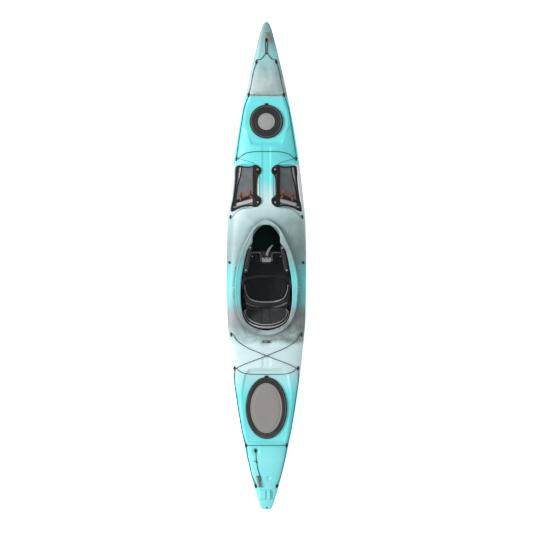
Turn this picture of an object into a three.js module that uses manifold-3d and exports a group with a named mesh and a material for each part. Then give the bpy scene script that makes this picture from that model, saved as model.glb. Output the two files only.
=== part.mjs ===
// A light-touring sea kayak: a moulded shell with a cockpit, two hatches, deck lines and a cockpit outfit.
// Millimetres. The bow points along +Y, +Z is up, and the flat of the keel lies on z = 0 under mid-length.
import * as THREE from 'three';
import { mergeGeometries, mergeVertices } from 'three/addons/utils/BufferGeometryUtils.js';
import Module from 'manifold-3d';

const wasm = await Module();
wasm.setup();

// Shell
const halfLength = 1905;
const halfBeam = 311;
const sheerHeight = 245; // height of the parting line amidships
const crownHeight = 104; // rise of the deck over the parting line in front of the cockpit
const shellWall = 6;
const contactGap = 0.3; // clearance between pieces that touch
const cutOverrun = 20; // how far every cutter runs past what it cuts
const stationCount = 36;
const endWidth = 42; // the inside of the shell ends where the boat gets narrower than this

// Outline and heights along the boat. The first number is a share of the half length, from stern to bow.
const planShares = [
  [-1, 0.07], [-0.985, 0.15], [-0.93, 0.262], [-0.78, 0.498], [-0.583, 0.725], [-0.386, 0.888],
  [-0.189, 0.985], [-0.02, 1], [0.156, 0.985], [0.304, 0.911], [0.45, 0.8], [0.6, 0.649], [0.747, 0.463],
  [0.895, 0.249], [0.97, 0.13], [1, 0.05],
];
const sheerShares = [[-1, 1.18], [-0.7, 1.05], [-0.1, 1], [0.45, 1.05], [0.75, 1.18], [1, 1.38]];
const crownShares = [
  [-1, 0.06], [-0.9, 0.2], [-0.7, 0.34], [-0.45, 0.44], [-0.29, 0.46], [0.02, 0.76], [0.2, 1], [0.32, 0.92],
  [0.5, 0.66], [0.7, 0.42], [0.9, 0.22], [1, 0.08],
];
const keelShares = [
  [-1, 0.9], [-0.985, 0.6], [-0.95, 0.27], [-0.89, 0.1], [-0.78, 0.02], [-0.6, 0], [0.6, 0], [0.78, 0.03],
  [0.88, 0.1], [0.95, 0.34], [0.985, 0.72], [1, 1.12],
];

// Half sections. The hull's are shares of the half beam and of the height from keel to parting line, the
// deck's are shares of the half beam and of the crown.
const hullSectionShares = [[0.15, 0], [0.55, 0.05], [0.82, 0.17], [0.93, 0.38], [0.985, 0.68], [1, 1]];
const deckSectionShares = [
  [0, 1], [0.22, 0.97], [0.45, 0.86], [0.66, 0.68], [0.83, 0.46], [0.95, 0.18], [1, 0],
];

// Smooth value of a table of pairs at a place.
function follow(table, at) {
  const last = table.length - 1;
  const next = table.findIndex((row) => row[0] > at);
  const k = next < 0 ? last - 1 : Math.max(next - 1, 0);
  const secant = (i) => (table[i + 1][1] - table[i][1]) / (table[i + 1][0] - table[i][0]);
  const slope = (i) => {
    const before = secant(Math.max(i - 1, 0));
    const after = secant(Math.min(i, last - 1));
    return before * after > 0 ? (2 * before * after) / (before + after) : 0;
  };
  const step = table[k + 1][0] - table[k][0];
  const t = THREE.MathUtils.clamp((at - table[k][0]) / step, 0, 1);
  const a = t * t * (3 - 2 * t);
  const rise = t * (1 - t) * (1 - t) * slope(k) - t * t * (1 - t) * slope(k + 1);
  return table[k][1] * (1 - a) + table[k + 1][1] * a + step * rise;
}

const beamAt = (y) => halfBeam * follow(planShares, y / halfLength);
const sheerAt = (y) => sheerHeight * follow(sheerShares, y / halfLength);
const crownAt = (y) => crownHeight * follow(crownShares, y / halfLength);
const keelAt = (y) => sheerHeight * follow(keelShares, y / halfLength);
const deckProfile = (share) => follow(deckSectionShares, Math.min(Math.abs(share), 1));
const deckTop = (x, y) => sheerAt(y) + crownAt(y) * deckProfile(x / beamAt(y));

// A closed solid is kept with bare, merged corners.
function bare(geometry) {
  const copy = geometry.clone();
  copy.deleteAttribute('normal');
  copy.deleteAttribute('uv');
  return mergeVertices(copy);
}

function solid(geometry) {
  const clean = bare(geometry);
  const mesh = new wasm.Mesh({
    numProp: 3,
    vertProperties: new Float32Array(clean.attributes.position.array),
    triVerts: new Uint32Array(clean.index.array),
  });
  return new wasm.Manifold(mesh);
}

function shape(body) {
  const mesh = body.getMesh();
  const geometry = new THREE.BufferGeometry();
  geometry.setAttribute('position', new THREE.BufferAttribute(new Float32Array(mesh.vertProperties), 3));
  geometry.setIndex(new THREE.BufferAttribute(new Uint32Array(mesh.triVerts), 1));
  return geometry;
}

const joined = (geometries) => geometries.map(solid).reduce((whole, piece) => whole.add(piece));
const cut = (body, geometries) => geometries.map(solid).reduce((whole, piece) => whole.subtract(piece), body);

// Triangles that fill a ring, in the ring's own order. A ring lies across the boat or looks up.
function fill(ring) {
  const across = ring.every((p) => p.y === ring[0].y);
  const contour = ring.map((p) => new THREE.Vector2(p.x, across ? p.z : p.y));
  const turn = Math.sign(THREE.ShapeUtils.area(contour));
  return THREE.ShapeUtils.triangulateShape(contour, []).map(([a, b, c]) => {
    const same = Math.sign(THREE.ShapeUtils.area([contour[a], contour[b], contour[c]])) === turn;
    return same ? [a, b, c] : [a, c, b];
  });
}

// A skin over rings of as many points each, closed by a flat end at each end.
function loft(rings) {
  const count = rings[0].length;
  const index = [];
  for (let r = 0; r < rings.length - 1; r++) {
    for (let i = 0; i < count; i++) {
      const a = r * count + i;
      const b = r * count + ((i + 1) % count);
      index.push(a, b, b + count, a, b + count, a + count);
    }
  }
  const top = (rings.length - 1) * count;
  for (const [a, b, c] of fill(rings[0])) {
    index.push(a, c, b);
  }
  for (const [a, b, c] of fill(rings.at(-1))) {
    index.push(top + a, top + b, top + c);
  }
  const corners = rings.flat().flatMap((p) => [p.x, p.y, p.z]);
  const geometry = new THREE.BufferGeometry();
  geometry.setAttribute('position', new THREE.Float32BufferAttribute(corners, 3));
  geometry.setIndex(index);
  return geometry;
}

const stations = Array.from({ length: stationCount + 1 }, (_, i) => {
  return -halfLength * Math.cos((Math.PI * i) / stationCount);
});
const innerStations = stations.filter((y) => beamAt(y) > endWidth);

// Sections of the two half shells, from starboard to port, grown inwards by an inset.
function hullRing(y, inset, above) {
  const half = beamAt(y) - inset;
  const keel = keelAt(y) + inset;
  const rise = sheerAt(y) - keel;
  const side = hullSectionShares.map(([x, z]) => new THREE.Vector3(x * half, y, keel + z * rise));
  const rim = above > 0 ? [new THREE.Vector3(half, y, sheerAt(y) + above)] : [];
  const right = [...side, ...rim];
  const left = right.map((p) => new THREE.Vector3(-p.x, y, p.z));
  return [...right, ...left.reverse()];
}

function deckRing(y, inset, below) {
  const half = beamAt(y) - inset;
  const base = sheerAt(y) + contactGap;
  const rise = crownAt(y) - inset;
  const side = deckSectionShares.slice(1).map(([x, z]) => new THREE.Vector3(x * half, y, base + z * rise));
  const rim = below > 0 ? [new THREE.Vector3(half, y, base - below)] : [];
  const right = [...side, ...rim].reverse();
  const left = right.map((p) => new THREE.Vector3(-p.x, y, p.z));
  return [...right, new THREE.Vector3(0, y, base + rise), ...left.reverse()];
}

const hullOuter = loft(stations.map((y) => hullRing(y, 0, 0)).reverse());
const hullInner = loft(innerStations.map((y) => hullRing(y, shellWall, cutOverrun)).reverse());
const deckOuter = loft(stations.map((y) => deckRing(y, 0, 0)).reverse());
const deckInner = loft(innerStations.map((y) => deckRing(y, shellWall, crownHeight)).reverse());

// Materials
const finish = (color, roughness, metalness) => {
  return new THREE.MeshStandardMaterial({ color, roughness, metalness });
};
const shellPlastic = finish(0x6ee0e0, 0.42, 0);
const hatchRubber = finish(0x4b4d50, 0.8, 0);
const hatchPanelPlastic = finish(0xa3a29f, 0.7, 0);
const blackPlastic = finish(0x1d1e20, 0.55, 0);
const greyPlastic = finish(0x6c6f72, 0.6, 0);
const seatFabric = finish(0x232427, 0.92, 0);
const foam = finish(0x3a3c3f, 0.95, 0);
const lineCord = finish(0x2b2c2e, 0.85, 0);
const orangeCord = finish(0xc85f1e, 0.8, 0);
const meshFabric = finish(0x55575a, 0.9, 0);
const greyWebbing = finish(0xa5a8a9, 0.85, 0);
const tabRubber = finish(0xb3b5b3, 0.7, 0);
const railMetal = finish(0xb9bcc0, 0.35, 1);

const kayak = new THREE.Group();
kayak.name = 'sea_kayak';

function part(name, geometry, material, place = new THREE.Matrix4()) {
  const mesh = new THREE.Mesh(geometry, material);
  mesh.name = name;
  mesh.applyMatrix4(place);
  kayak.add(mesh);
  return mesh;
}

const sides = [['left', -1], ['right', 1]];

// Cockpit rim. Half outlines from the front to the back, as shares of the rim's half width and of its length.
const rimHalfWidth = 243;
const rimLength = 900;
const rimFront = 360;
const rimBack = rimFront - rimLength;
const rimFrontRise = 21.3; // height of the rim over the deck's middle line at each end
const rimBackRise = 9.6;
const rimThickness = 8;
const rimWidth = 31;
const rimNeck = 14; // how far the wall under the rim stands outside the opening
const rimFlare = 12; // how far the foot of that wall stands outside the rim
const rimDrop = 78; // how far the foot lies below the top of the rim
const rimPoints = 36;
const rimOutlineShares = [
  [0, 0], [0.36, 0.056], [0.695, 0.214], [0.888, 0.363], [1, 0.513], [1, 0.661], [0.917, 0.812],
  [0.66, 0.932], [0.26, 0.992], [0, 1],
];

// The opening is a keyhole: it is narrower in front, where the rim carries moulded thigh supports.
const openingOutlineShares = [
  [0, 0.044], [0.15, 0.048], [0.3, 0.066], [0.4, 0.098], [0.44, 0.155], [0.449, 0.2], [0.52, 0.226],
  [0.61, 0.262], [0.68, 0.33], [0.745, 0.417], [0.805, 0.52], [0.825, 0.662], [0.79, 0.774], [0.685, 0.872],
  [0.45, 0.925], [0.2, 0.95], [0, 0.957],
];

const rimFrontHeight = deckTop(0, rimFront) + rimFrontRise;
const rimBackHeight = deckTop(0, rimBack) + rimBackRise;
const rimHeightAt = (y) => THREE.MathUtils.mapLinear(y, rimBack, rimFront, rimBackHeight, rimFrontHeight);

function rimOutline(grow, shares = rimOutlineShares) {
  const half = shares.map(([x, y]) => new THREE.Vector3(x * rimHalfWidth, rimFront - y * rimLength, 0));
  const mirrored = half.slice(1, -1).map((p) => new THREE.Vector3(-p.x, p.y, 0));
  const curve = new THREE.CatmullRomCurve3([...half, ...mirrored.reverse()], true, 'centripetal');
  const points = [];
  for (let i = 0; i < rimPoints; i++) {
    const point = curve.getPointAt(i / rimPoints);
    const along = curve.getTangentAt(i / rimPoints);
    points.push(new THREE.Vector3(point.x - along.y * grow, point.y + along.x * grow, 0));
  }
  return points.reverse();
}

const rimRing = (grow, drop, shares) => {
  return rimOutline(grow, shares).map((p) => new THREE.Vector3(p.x, p.y, rimHeightAt(p.y) - drop));
};
const rimOpening = loft([
  rimRing(0, sheerHeight, openingOutlineShares),
  rimRing(0, -cutOverrun, openingOutlineShares),
]);
const rimLip = loft([rimRing(0, rimThickness), rimRing(0, 0)]);
const rimWall = loft([rimRing(rimFlare, rimDrop), rimRing(rimNeck - rimWidth, rimThickness / 2)]);
const rimWallInside = loft([
  rimRing(rimFlare - shellWall, rimDrop + cutOverrun),
  rimRing(rimNeck - shellWall - rimWidth, rimThickness),
]);

// Hatches. Each has a flat seat moulded into the deck, a raised rim and a cover that snaps over the rim.
const coverThickness = 7;
const coverSkirt = 9; // how far the skirt reaches down beside the rim
const coverWall = 9;
const hatchRimWall = 5;
const hatchSeatWidth = 14; // flat round the cover
const recessFlareShare = 1.444; // how far the recess widens for each unit that it rises
const hatchSides = 32;
const bowHatchShare = 0.5916; // place of the middle of each hatch along the half length
const sternHatchShare = -0.58268;
const bowHatch = {
  name: 'bow_hatch', y: bowHatchShare * halfLength, rx: 132, ry: 132, sunk: 19, panelX: 66, panelY: 66,
};
const sternHatch = {
  name: 'stern_hatch', y: sternHatchShare * halfLength, rx: 163, ry: 242, sunk: 23.7, panelX: 125,
  panelY: 196,
};
const hatches = [bowHatch, sternHatch].map((hatch) => ({ ...hatch, seat: deckTop(0, hatch.y) - hatch.sunk }));

function ovalRing(centreY, rx, ry, z) {
  const ring = [];
  for (let i = 0; i < hatchSides; i++) {
    const angle = (2 * Math.PI * i) / hatchSides;
    ring.push(new THREE.Vector3(rx * Math.cos(angle), centreY + ry * Math.sin(angle), z));
  }
  return ring;
}

function oval(hatch, grow, low, high, flare = 0) {
  const { y, rx, ry } = hatch;
  return loft([
    ovalRing(y, rx + grow, ry + grow, low),
    ovalRing(y, rx + grow + flare, ry + grow + flare, high),
  ]);
}

const openingInset = coverWall + contactGap + hatchRimWall;
const seatTops = hatches.map((hatch) => oval(hatch, hatchSeatWidth, hatch.seat - shellWall, hatch.seat));
const recessFlare = crownHeight * recessFlareShare;
const recesses = hatches.map((hatch) => {
  return oval(hatch, hatchSeatWidth, hatch.seat, hatch.seat + crownHeight, recessFlare);
});
const seatRims = hatches.map((hatch) => {
  const low = hatch.seat - shellWall / 2;
  return oval(hatch, -coverWall - contactGap, low, hatch.seat + coverSkirt);
});
const hatchOpenings = hatches.map((hatch) => {
  return oval(hatch, -openingInset, hatch.seat - crownHeight, hatch.seat + crownHeight);
});
// Space under each seat that the inside of the deck leaves filled, so that the recess keeps its wall. With a
// clearance it is the space that a bulkhead leaves free.
const seatFloor = (clearance) => (hatch) => {
  const low = hatch.seat - shellWall - clearance;
  const grow = hatchSeatWidth + shellWall + clearance;
  return oval(hatch, grow, low, hatch.seat + crownHeight, recessFlare);
};

// Deck pockets: a mesh panel with a corded edge over a shallow recess on each side of the foredeck. The rim
// gap is their distance from the cockpit rim, the margin that from the side of the boat.
const pocket = { width: 198, length: 362, rimGap: 70, margin: 22.2, depth: 8 };
const pocketBack = rimFront + pocket.rimGap;
const pocketMiddle = pocketBack + pocket.length / 2;
const pocketOuter = beamAt(pocketBack) - pocket.margin;
const pocketInner = pocketOuter - pocket.width;
const pocketOutlineShares = [
  [0.05, 0.01], [0.2, 0], [0.8, 0.03], [0.84, 0.3], [0.92, 0.7], [1, 1], [0.6, 0.95], [0.12, 0.93],
  [0, 0.86], [0.01, 0.12],
];

// The plane of a pocket, with its own X athwartships from the inner edge and its own Y along the boat.
function pocketPlace(side) {
  const corner = (x, y) => new THREE.Vector3(side * x, y, deckTop(x, y));
  const origin = corner(pocketInner, pocketBack);
  const along = corner(pocketInner, pocketBack + pocket.length).sub(origin).normalize();
  const across = corner(pocketOuter, pocketMiddle).sub(corner(pocketInner, pocketMiddle)).normalize();
  const up = new THREE.Vector3().crossVectors(across, along).multiplyScalar(side).normalize();
  const outward = new THREE.Vector3().crossVectors(along, up);
  return new THREE.Matrix4().makeBasis(outward, along, up).setPosition(origin);
}

const pocketFall = deckTop(pocketInner, pocketMiddle) - deckTop(pocketOuter, pocketMiddle);
const pocketWidth = Math.hypot(pocket.width, pocketFall);

// Flat outline of a pocket in its own plane, drawn in from its edge by an inset.
function pocketOutline(side, inset) {
  const middle = new THREE.Vector2(pocketWidth / 2, pocket.length / 2);
  return pocketOutlineShares.map(([x, y]) => {
    const point = new THREE.Vector2(x * pocketWidth, (1 - y) * pocket.length);
    const reach = point.clone().sub(middle);
    point.x -= Math.sign(reach.x) * inset;
    point.y -= Math.sign(reach.y) * inset;
    return new THREE.Vector2(side * point.x, point.y);
  });
}

function slab(outline, low, high) {
  const settings = { depth: high - low, bevelEnabled: false, curveSegments: 1 };
  const geometry = new THREE.ExtrudeGeometry(new THREE.Shape(outline), settings);
  geometry.translate(0, 0, low);
  return geometry;
}

const pocketCut = ([, side]) => {
  return slab(pocketOutline(side, 0), -pocket.depth, crownHeight).applyMatrix4(pocketPlace(side));
};
const pocketFloor = ([, side]) => {
  const block = slab(pocketOutline(side, -shellWall), -pocket.depth - shellWall, crownHeight);
  return block.applyMatrix4(pocketPlace(side));
};

// Stern moulding: a block with a groove that a rudder would rest in.
const rest = { fromStern: 83, length: 74, width: 86, height: 12, groove: 12, grooveDepth: 9 };
const restBack = rest.fromStern - halfLength;
const restFront = restBack + rest.length;
const restTop = Math.max(deckTop(0, restFront), deckTop(0, restBack)) + rest.height;
const box = (x0, x1, y0, y1, z0, z1) => {
  const geometry = new THREE.BoxGeometry(x1 - x0, y1 - y0, z1 - z0);
  return geometry.translate((x0 + x1) / 2, (y0 + y1) / 2, (z0 + z1) / 2);
};
const restLow = sheerAt(restFront) + contactGap;
const restBlock = box(-rest.width / 2, rest.width / 2, restBack, restFront, restLow, restTop);
const restGroove = box(
  -rest.groove / 2, rest.groove / 2, restBack - cutOverrun, restFront + cutOverrun,
  restTop - rest.grooveDepth, restTop + cutOverrun,
);

// Shallow troughs pressed into the middle of the deck between the cockpit and each hatch. The gaps keep their
// ends clear of the rim and of the hatch's edge.
const trough = { width: 62, depth: 5, rimGap: 120, bowHatchGap: 50, sternHatchGap: 28, rearLength: 140 };
const rearTroughBack = sternHatch.y + sternHatch.ry + trough.sternHatchGap;
const troughSpans = [
  [rimFront + trough.rimGap, bowHatch.y - bowHatch.ry - trough.bowHatchGap],
  [rearTroughBack, rearTroughBack + trough.rearLength],
];
const troughCut = (wall) => ([from, to]) => {
  const ring = (y) => {
    const low = deckTop(0, y) - trough.depth - wall;
    const high = deckTop(0, y) + trough.depth;
    const floor = trough.width / 2 - trough.depth + wall;
    const brim = floor + 2 * trough.depth;
    return [[-floor, low], [floor, low], [brim, high], [-brim, high]].map(([x, z]) => {
      return new THREE.Vector3(x, y, z);
    });
  };
  const steps = stations.filter((y) => y > from && y < to);
  return loft([to + wall, ...steps.reverse(), from - wall].map(ring));
};

const deckRaised = joined([deckOuter, rimWall, rimLip, ...seatTops, restBlock]);
const deckCarved = cut(deckRaised, [
  ...recesses, ...sides.map(pocketCut), ...troughSpans.map(troughCut(0)), restGroove,
]);
const deckWithRims = seatRims.map(solid).reduce((whole, ring) => whole.add(ring), deckCarved);
const hollow = cut(solid(deckInner), [
  ...hatches.map(seatFloor(0)), ...sides.map(pocketFloor), ...troughSpans.map(troughCut(shellWall)),
]);
const deckShell = cut(deckWithRims.subtract(hollow), [rimWallInside, rimOpening, ...hatchOpenings]);
part('hull', shape(solid(hullOuter).subtract(solid(hullInner))), shellPlastic);
part('deck', shape(deckShell), shellPlastic);

// The deck as a full solid, raised by the contact gap. What sits on the deck is cut to its shape with it.
const hullCutter = loft(stations.map((y) => hullRing(y, -contactGap, 2 * contactGap)).reverse());
const deckCutter = solid(shape(deckWithRims).translate(0, 0, contactGap)).add(solid(hullCutter));
const seated = (geometry) => shape(solid(geometry).subtract(deckCutter));

const AXIS_X = new THREE.Vector3(1, 0, 0);
const AXIS_Y = new THREE.Vector3(0, 1, 0);
const AXIS_Z = new THREE.Vector3(0, 0, 1);

// Place on the deck with Z along the deck's normal and Y along a heading, given in degrees from the bow.
function onDeck(x, y, heading) {
  const reach = shellWall;
  const across = new THREE.Vector3(2 * reach, 0, deckTop(x + reach, y) - deckTop(x - reach, y));
  const along = new THREE.Vector3(0, 2 * reach, deckTop(x, y + reach) - deckTop(x, y - reach));
  const up = across.cross(along).normalize();
  const turn = THREE.MathUtils.degToRad(heading);
  const ahead = new THREE.Vector3(-Math.sin(turn), Math.cos(turn), 0);
  const right = new THREE.Vector3().crossVectors(ahead, up).normalize();
  const forward = new THREE.Vector3().crossVectors(up, right);
  return new THREE.Matrix4().makeBasis(right, forward, up).setPosition(x, y, deckTop(x, y));
}

// Shapes drawn in the plane of the boat's side (Y, Z), extruded athwartships.
const sideways = new THREE.Matrix4().makeBasis(AXIS_Y, AXIS_Z, AXIS_X);

function tube(points, radius, sideCount, stepsPerPoint) {
  const path = new THREE.CatmullRomCurve3(points, false, 'centripetal');
  const section = [];
  for (let i = 0; i < sideCount; i++) {
    const angle = (2 * Math.PI * i) / sideCount;
    section.push(new THREE.Vector2(radius * Math.cos(angle), radius * Math.sin(angle)));
  }
  const settings = { steps: stepsPerPoint * (points.length - 1), extrudePath: path, bevelEnabled: false };
  return new THREE.ExtrudeGeometry(new THREE.Shape(section), settings);
}

// Bulkheads of foam, cut to the inside of the shell: one behind the bow hatch, one behind the cockpit.
const bulkhead = { thickness: 30, hatchGap: 70, rimGap: 100 };
const bulkheadFronts = {
  bow: bowHatch.y - bowHatch.ry - bulkhead.hatchGap,
  stern: rimBack - bulkhead.rimGap,
};
const cavity = joined([
  loft(innerStations.map((y) => hullRing(y, shellWall + contactGap, contactGap)).reverse()),
  loft(innerStations.map((y) => deckRing(y, shellWall + contactGap, contactGap)).reverse()),
]);
for (const [end, front] of Object.entries(bulkheadFronts)) {
  const plate = box(-halfBeam, halfBeam, front - bulkhead.thickness, front, -cutOverrun, 2 * sheerHeight);
  const fitted = cut(solid(plate).intersect(cavity), [
    ...hatches.map(seatFloor(contactGap)), ...troughSpans.map(troughCut(shellWall + contactGap)),
  ]);
  part(`${end}_bulkhead`, shape(fitted), foam);
}

// Hatch covers: a rubber lid with a skirt round the rim, a pull tab and a stiff panel let into the top.
const tab = { width: 36, reach: 12, thickness: 5, inset: 6 };
const panelDepth = 3;
const panelRise = 2.5;
for (const hatch of hatches) {
  const { name, y, ry, seat, panelX, panelY } = hatch;
  const under = seat + coverSkirt + contactGap;
  const top = under + coverThickness;
  const inside = oval(hatch, -coverWall, seat - cutOverrun, under);
  const tabTop = seat + coverSkirt;
  const edge = y + ry;
  const pull = box(
    -tab.width / 2, tab.width / 2, edge - tab.inset, edge + tab.reach, tabTop - tab.thickness, tabTop,
  );
  const plate = { ...hatch, rx: panelX, ry: panelY };
  const bed = oval(plate, contactGap, top - panelDepth, top + cutOverrun);
  const lid = joined([oval(hatch, 0, seat + contactGap, top), pull]);
  part(`${name}_cover`, shape(cut(lid, [inside, bed])), hatchRubber);
  part(`${name}_panel`, oval(plate, 0, top - panelDepth + contactGap, top + panelRise), hatchPanelPlastic);
}

// Seat: a pan on a foot, with side plates that hang from the rim.
const seat = {
  rimGap: 204, length: 454, halfWidth: 184, top: 50, wall: 5, footHalfWidth: 40, hangerFromBack: 216,
  hangerLength: 24,
};
const seatBack = rimBack + seat.rimGap;
const seatFront = seatBack + seat.length;
const hangerY = seatBack + seat.hangerFromBack;
const pan = box(-seat.halfWidth, seat.halfWidth, seatBack, seatFront, seat.top - seat.wall, seat.top);
const panFoot = box(
  -seat.footHalfWidth, seat.footHalfWidth, seatBack, seatFront, shellWall + contactGap,
  seat.top - seat.wall / 2,
);
const hangerTop = rimHeightAt(hangerY - seat.hangerLength / 2) - rimThickness - contactGap;
const sidePlateShares = [
  [0, 0.14], [0.05, 0.4], [0.2, 0.62], [0.38, 1], [0.5, 1], [0.62, 0.5], [0.95, 0.3], [0.98, 0.14],
];
const sidePlate = sidePlateShares.map(([y, z]) => {
  return new THREE.Vector2(seatBack + y * seat.length, z * hangerTop);
});
sidePlate.unshift(new THREE.Vector2(seatBack, seat.top - seat.wall));
sidePlate.push(new THREE.Vector2(seatFront, seat.top - seat.wall));
const hangerReach = rimHalfWidth - rimWidth + (rimNeck - shellWall) / 2;
const seatPieces = [pan, panFoot];
for (const [, side] of sides) {
  const inner = side * seat.halfWidth;
  const outer = side * (seat.halfWidth + seat.wall);
  const low = Math.min(inner, outer);
  seatPieces.push(slab(sidePlate, low, low + seat.wall).applyMatrix4(sideways));
  const tip = side * hangerReach;
  const from = hangerY - seat.hangerLength / 2;
  seatPieces.push(box(
    Math.min(inner, tip), Math.max(inner, tip), from, from + seat.hangerLength, hangerTop - seat.wall,
    hangerTop,
  ));
}
part('seat_base', shape(joined(seatPieces)), blackPlastic);

// A cushion over a convex outline: sides that draw in below, a rounded edge and a crowned top.
const cushionRowShares = [[0.05, 0], [0, 0.28], [0, 0.6], [0.05, 0.86], [0.2, 0.97], [0.5, 1]];
function cushion(outline, low, height) {
  const points = outline.map(([x, y]) => new THREE.Vector2(x, y));
  const centre = points.reduce((sum, p) => sum.add(p), new THREE.Vector2()).divideScalar(points.length);
  return loft(cushionRowShares.map(([inset, rise]) => points.map((p) => {
    const at = p.clone().lerp(centre, inset);
    return new THREE.Vector3(at.x, at.y, low + rise * height);
  })));
}

// The two seat cushions meet at the split. Each is drawn in a little at its waist, by the draw share.
const seatCushion = { sideGap: 12, taper: 22, backGap: 42, thickness: 44, splitFromBack: 234, gap: 4 };
const split = seatBack + seatCushion.splitFromBack;
const cushionWide = seat.halfWidth - seatCushion.sideGap;
const cushionNarrow = cushionWide - seatCushion.taper;
const drawShare = 0.965;
const cornerShares = [[0.82, 0], [0.95, 0.04], [1, 0.14]];
const waistShares = [0.35, 0.65];
function roundedOutline(halfFront, halfBack, front, back, draw) {
  const along = (y) => THREE.MathUtils.lerp(front, back, y);
  const place = (x, y) => [x * THREE.MathUtils.lerp(halfFront, halfBack, y), along(y)];
  const middle = ((halfFront + halfBack) / 2) * draw;
  const right = [
    ...cornerShares.map(([x, y]) => place(x, y)),
    ...waistShares.map((y) => [middle, along(y)]),
    ...cornerShares.map(([x, y]) => place(x, 1 - y)).reverse(),
  ];
  return [...right.map(([x, y]) => [-x, y]), ...right.reverse()];
}

const groove = { width: 8, depth: 9 };
const channel = (x0, x1, y0, y1, top) => box(x0, x1, y0, y1, top - groove.depth, top + cutOverrun);
const cushionLow = seat.top + contactGap;
const cushionTop = cushionLow + seatCushion.thickness;
const notch = { half: 40, depth: 88 };
const notchBack = seatFront - notch.depth;
const frontOutline = roundedOutline(
  cushionNarrow, cushionWide, seatFront - seat.wall, split + seatCushion.gap / 2, 1,
);
const frontSeam = { x: 80, fromFront: 50 };
const frontCushion = cut(solid(cushion(frontOutline, cushionLow, seatCushion.thickness)), [
  box(-notch.half, notch.half, notchBack, seatFront + cutOverrun, 0, cushionTop + cutOverrun),
  ...sides.map(([, side]) => {
    const x = side * frontSeam.x;
    const to = seatFront - frontSeam.fromFront;
    return channel(x - groove.width / 2, x + groove.width / 2, notchBack, to, cushionTop);
  }),
]);
part('leg_lift_cushion', shape(frontCushion), seatFabric);

const cushionBack = seatBack + seatCushion.backGap;
const rearOutline = roundedOutline(
  cushionWide, cushionNarrow, split - seatCushion.gap / 2, cushionBack, drawShare,
);
const rearSeam = { x: 96, inset: 28 };
const rearCushion = cut(
  solid(cushion(rearOutline, cushionLow, seatCushion.thickness)),
  sides.map(([, side]) => {
    const x = side * rearSeam.x;
    const from = cushionBack + rearSeam.inset;
    const to = split - rearSeam.inset;
    return channel(x - groove.width / 2, x + groove.width / 2, from, to, cushionTop);
  }),
);
part('seat_cushion', shape(rearCushion), seatFabric);

// Pull tab in the notch of the front cushion, and the strap that raises it. The strap's route starts at the
// tab's front.
const pullTab = { half: 37, length: 36, thickness: 12 };
const tabLow = cushionLow + seatCushion.thickness / 2;
const tabBack = notchBack + contactGap;
const tabFront = tabBack + pullTab.length;
const tabTop = tabLow + pullTab.thickness;
part('leg_lift_tab', box(-pullTab.half, pullTab.half, tabBack, tabFront, tabLow, tabTop), tabRubber);
const strap = { radius: 5, sides: 8 };
const strapStart = new THREE.Vector3(0, tabFront + contactGap, tabTop - pullTab.thickness / 2);
const strapRoute = [[0, 0, 0], [0, 12, 0], [8, 40, 8], [26, 74, 15], [48, 98, 12], [70, 112, 3]];
const strapPoints = strapRoute.map(([x, y, z]) => new THREE.Vector3(x, y, z).add(strapStart));
part('leg_lift_strap', tube(strapPoints, strap.radius, strap.sides, 2), greyWebbing);

// Backrest: a plate on a bar across the back of the seat, and its pad. The bar turns between the seat's side
// plates, ahead of the seat's back edge and over the pan. The lean is in degrees.
const back = {
  ahead: 20, over: 46, lean: 38, length: 276, sideGap: 8, frame: 5, bar: 16, pad: 30, padLow: 26,
};
const backHalf = seat.halfWidth - back.sideGap;
const lean = THREE.MathUtils.degToRad(back.lean);
const backUp = new THREE.Vector3(0, -Math.sin(lean), Math.cos(lean));
const backFace = new THREE.Vector3().crossVectors(AXIS_X, backUp);
const backPlace = new THREE.Matrix4().makeBasis(AXIS_X, backUp, backFace);
backPlace.setPosition(0, seatBack + back.ahead, seat.top + back.over);
const archShares = [
  [0.93, 0], [0.99, 0.12], [0.98, 0.3], [0.92, 0.5], [0.8, 0.7], [0.6, 0.87], [0.36, 0.97], [0.12, 1],
];
function archOutline(inset, low) {
  const half = backHalf - inset;
  const right = archShares.map(([x, y]) => [x * half, low + y * (back.length - inset - low)]);
  return [...right, ...right.map(([x, y]) => [-x, y]).reverse()];
}
const plateOutline = archOutline(back.frame, 0).map(([x, y]) => new THREE.Vector2(x, y));
const barHalf = seat.halfWidth - contactGap;
const framePieces = [
  slab(plateOutline, 0, back.frame),
  box(-barHalf, barHalf, -back.bar / 2, back.bar / 2, -back.bar / 2, back.bar / 2),
];
part('backrest_frame', shape(joined(framePieces)), greyPlastic, backPlace);
const padBody = solid(cushion(archOutline(0, back.padLow), 0, back.pad));
const padGrooves = sides.map(([, side]) => {
  const x = (side * backHalf) / 4;
  const from = back.padLow + back.pad;
  return channel(x - groove.width / 2, x + groove.width / 2, from, back.length - back.pad, back.pad);
});
const padFront = shape(cut(padBody, padGrooves)).rotateY(Math.PI).translate(0, 0, -contactGap);
part('backrest_pad', padFront, seatFabric, backPlace);

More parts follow.
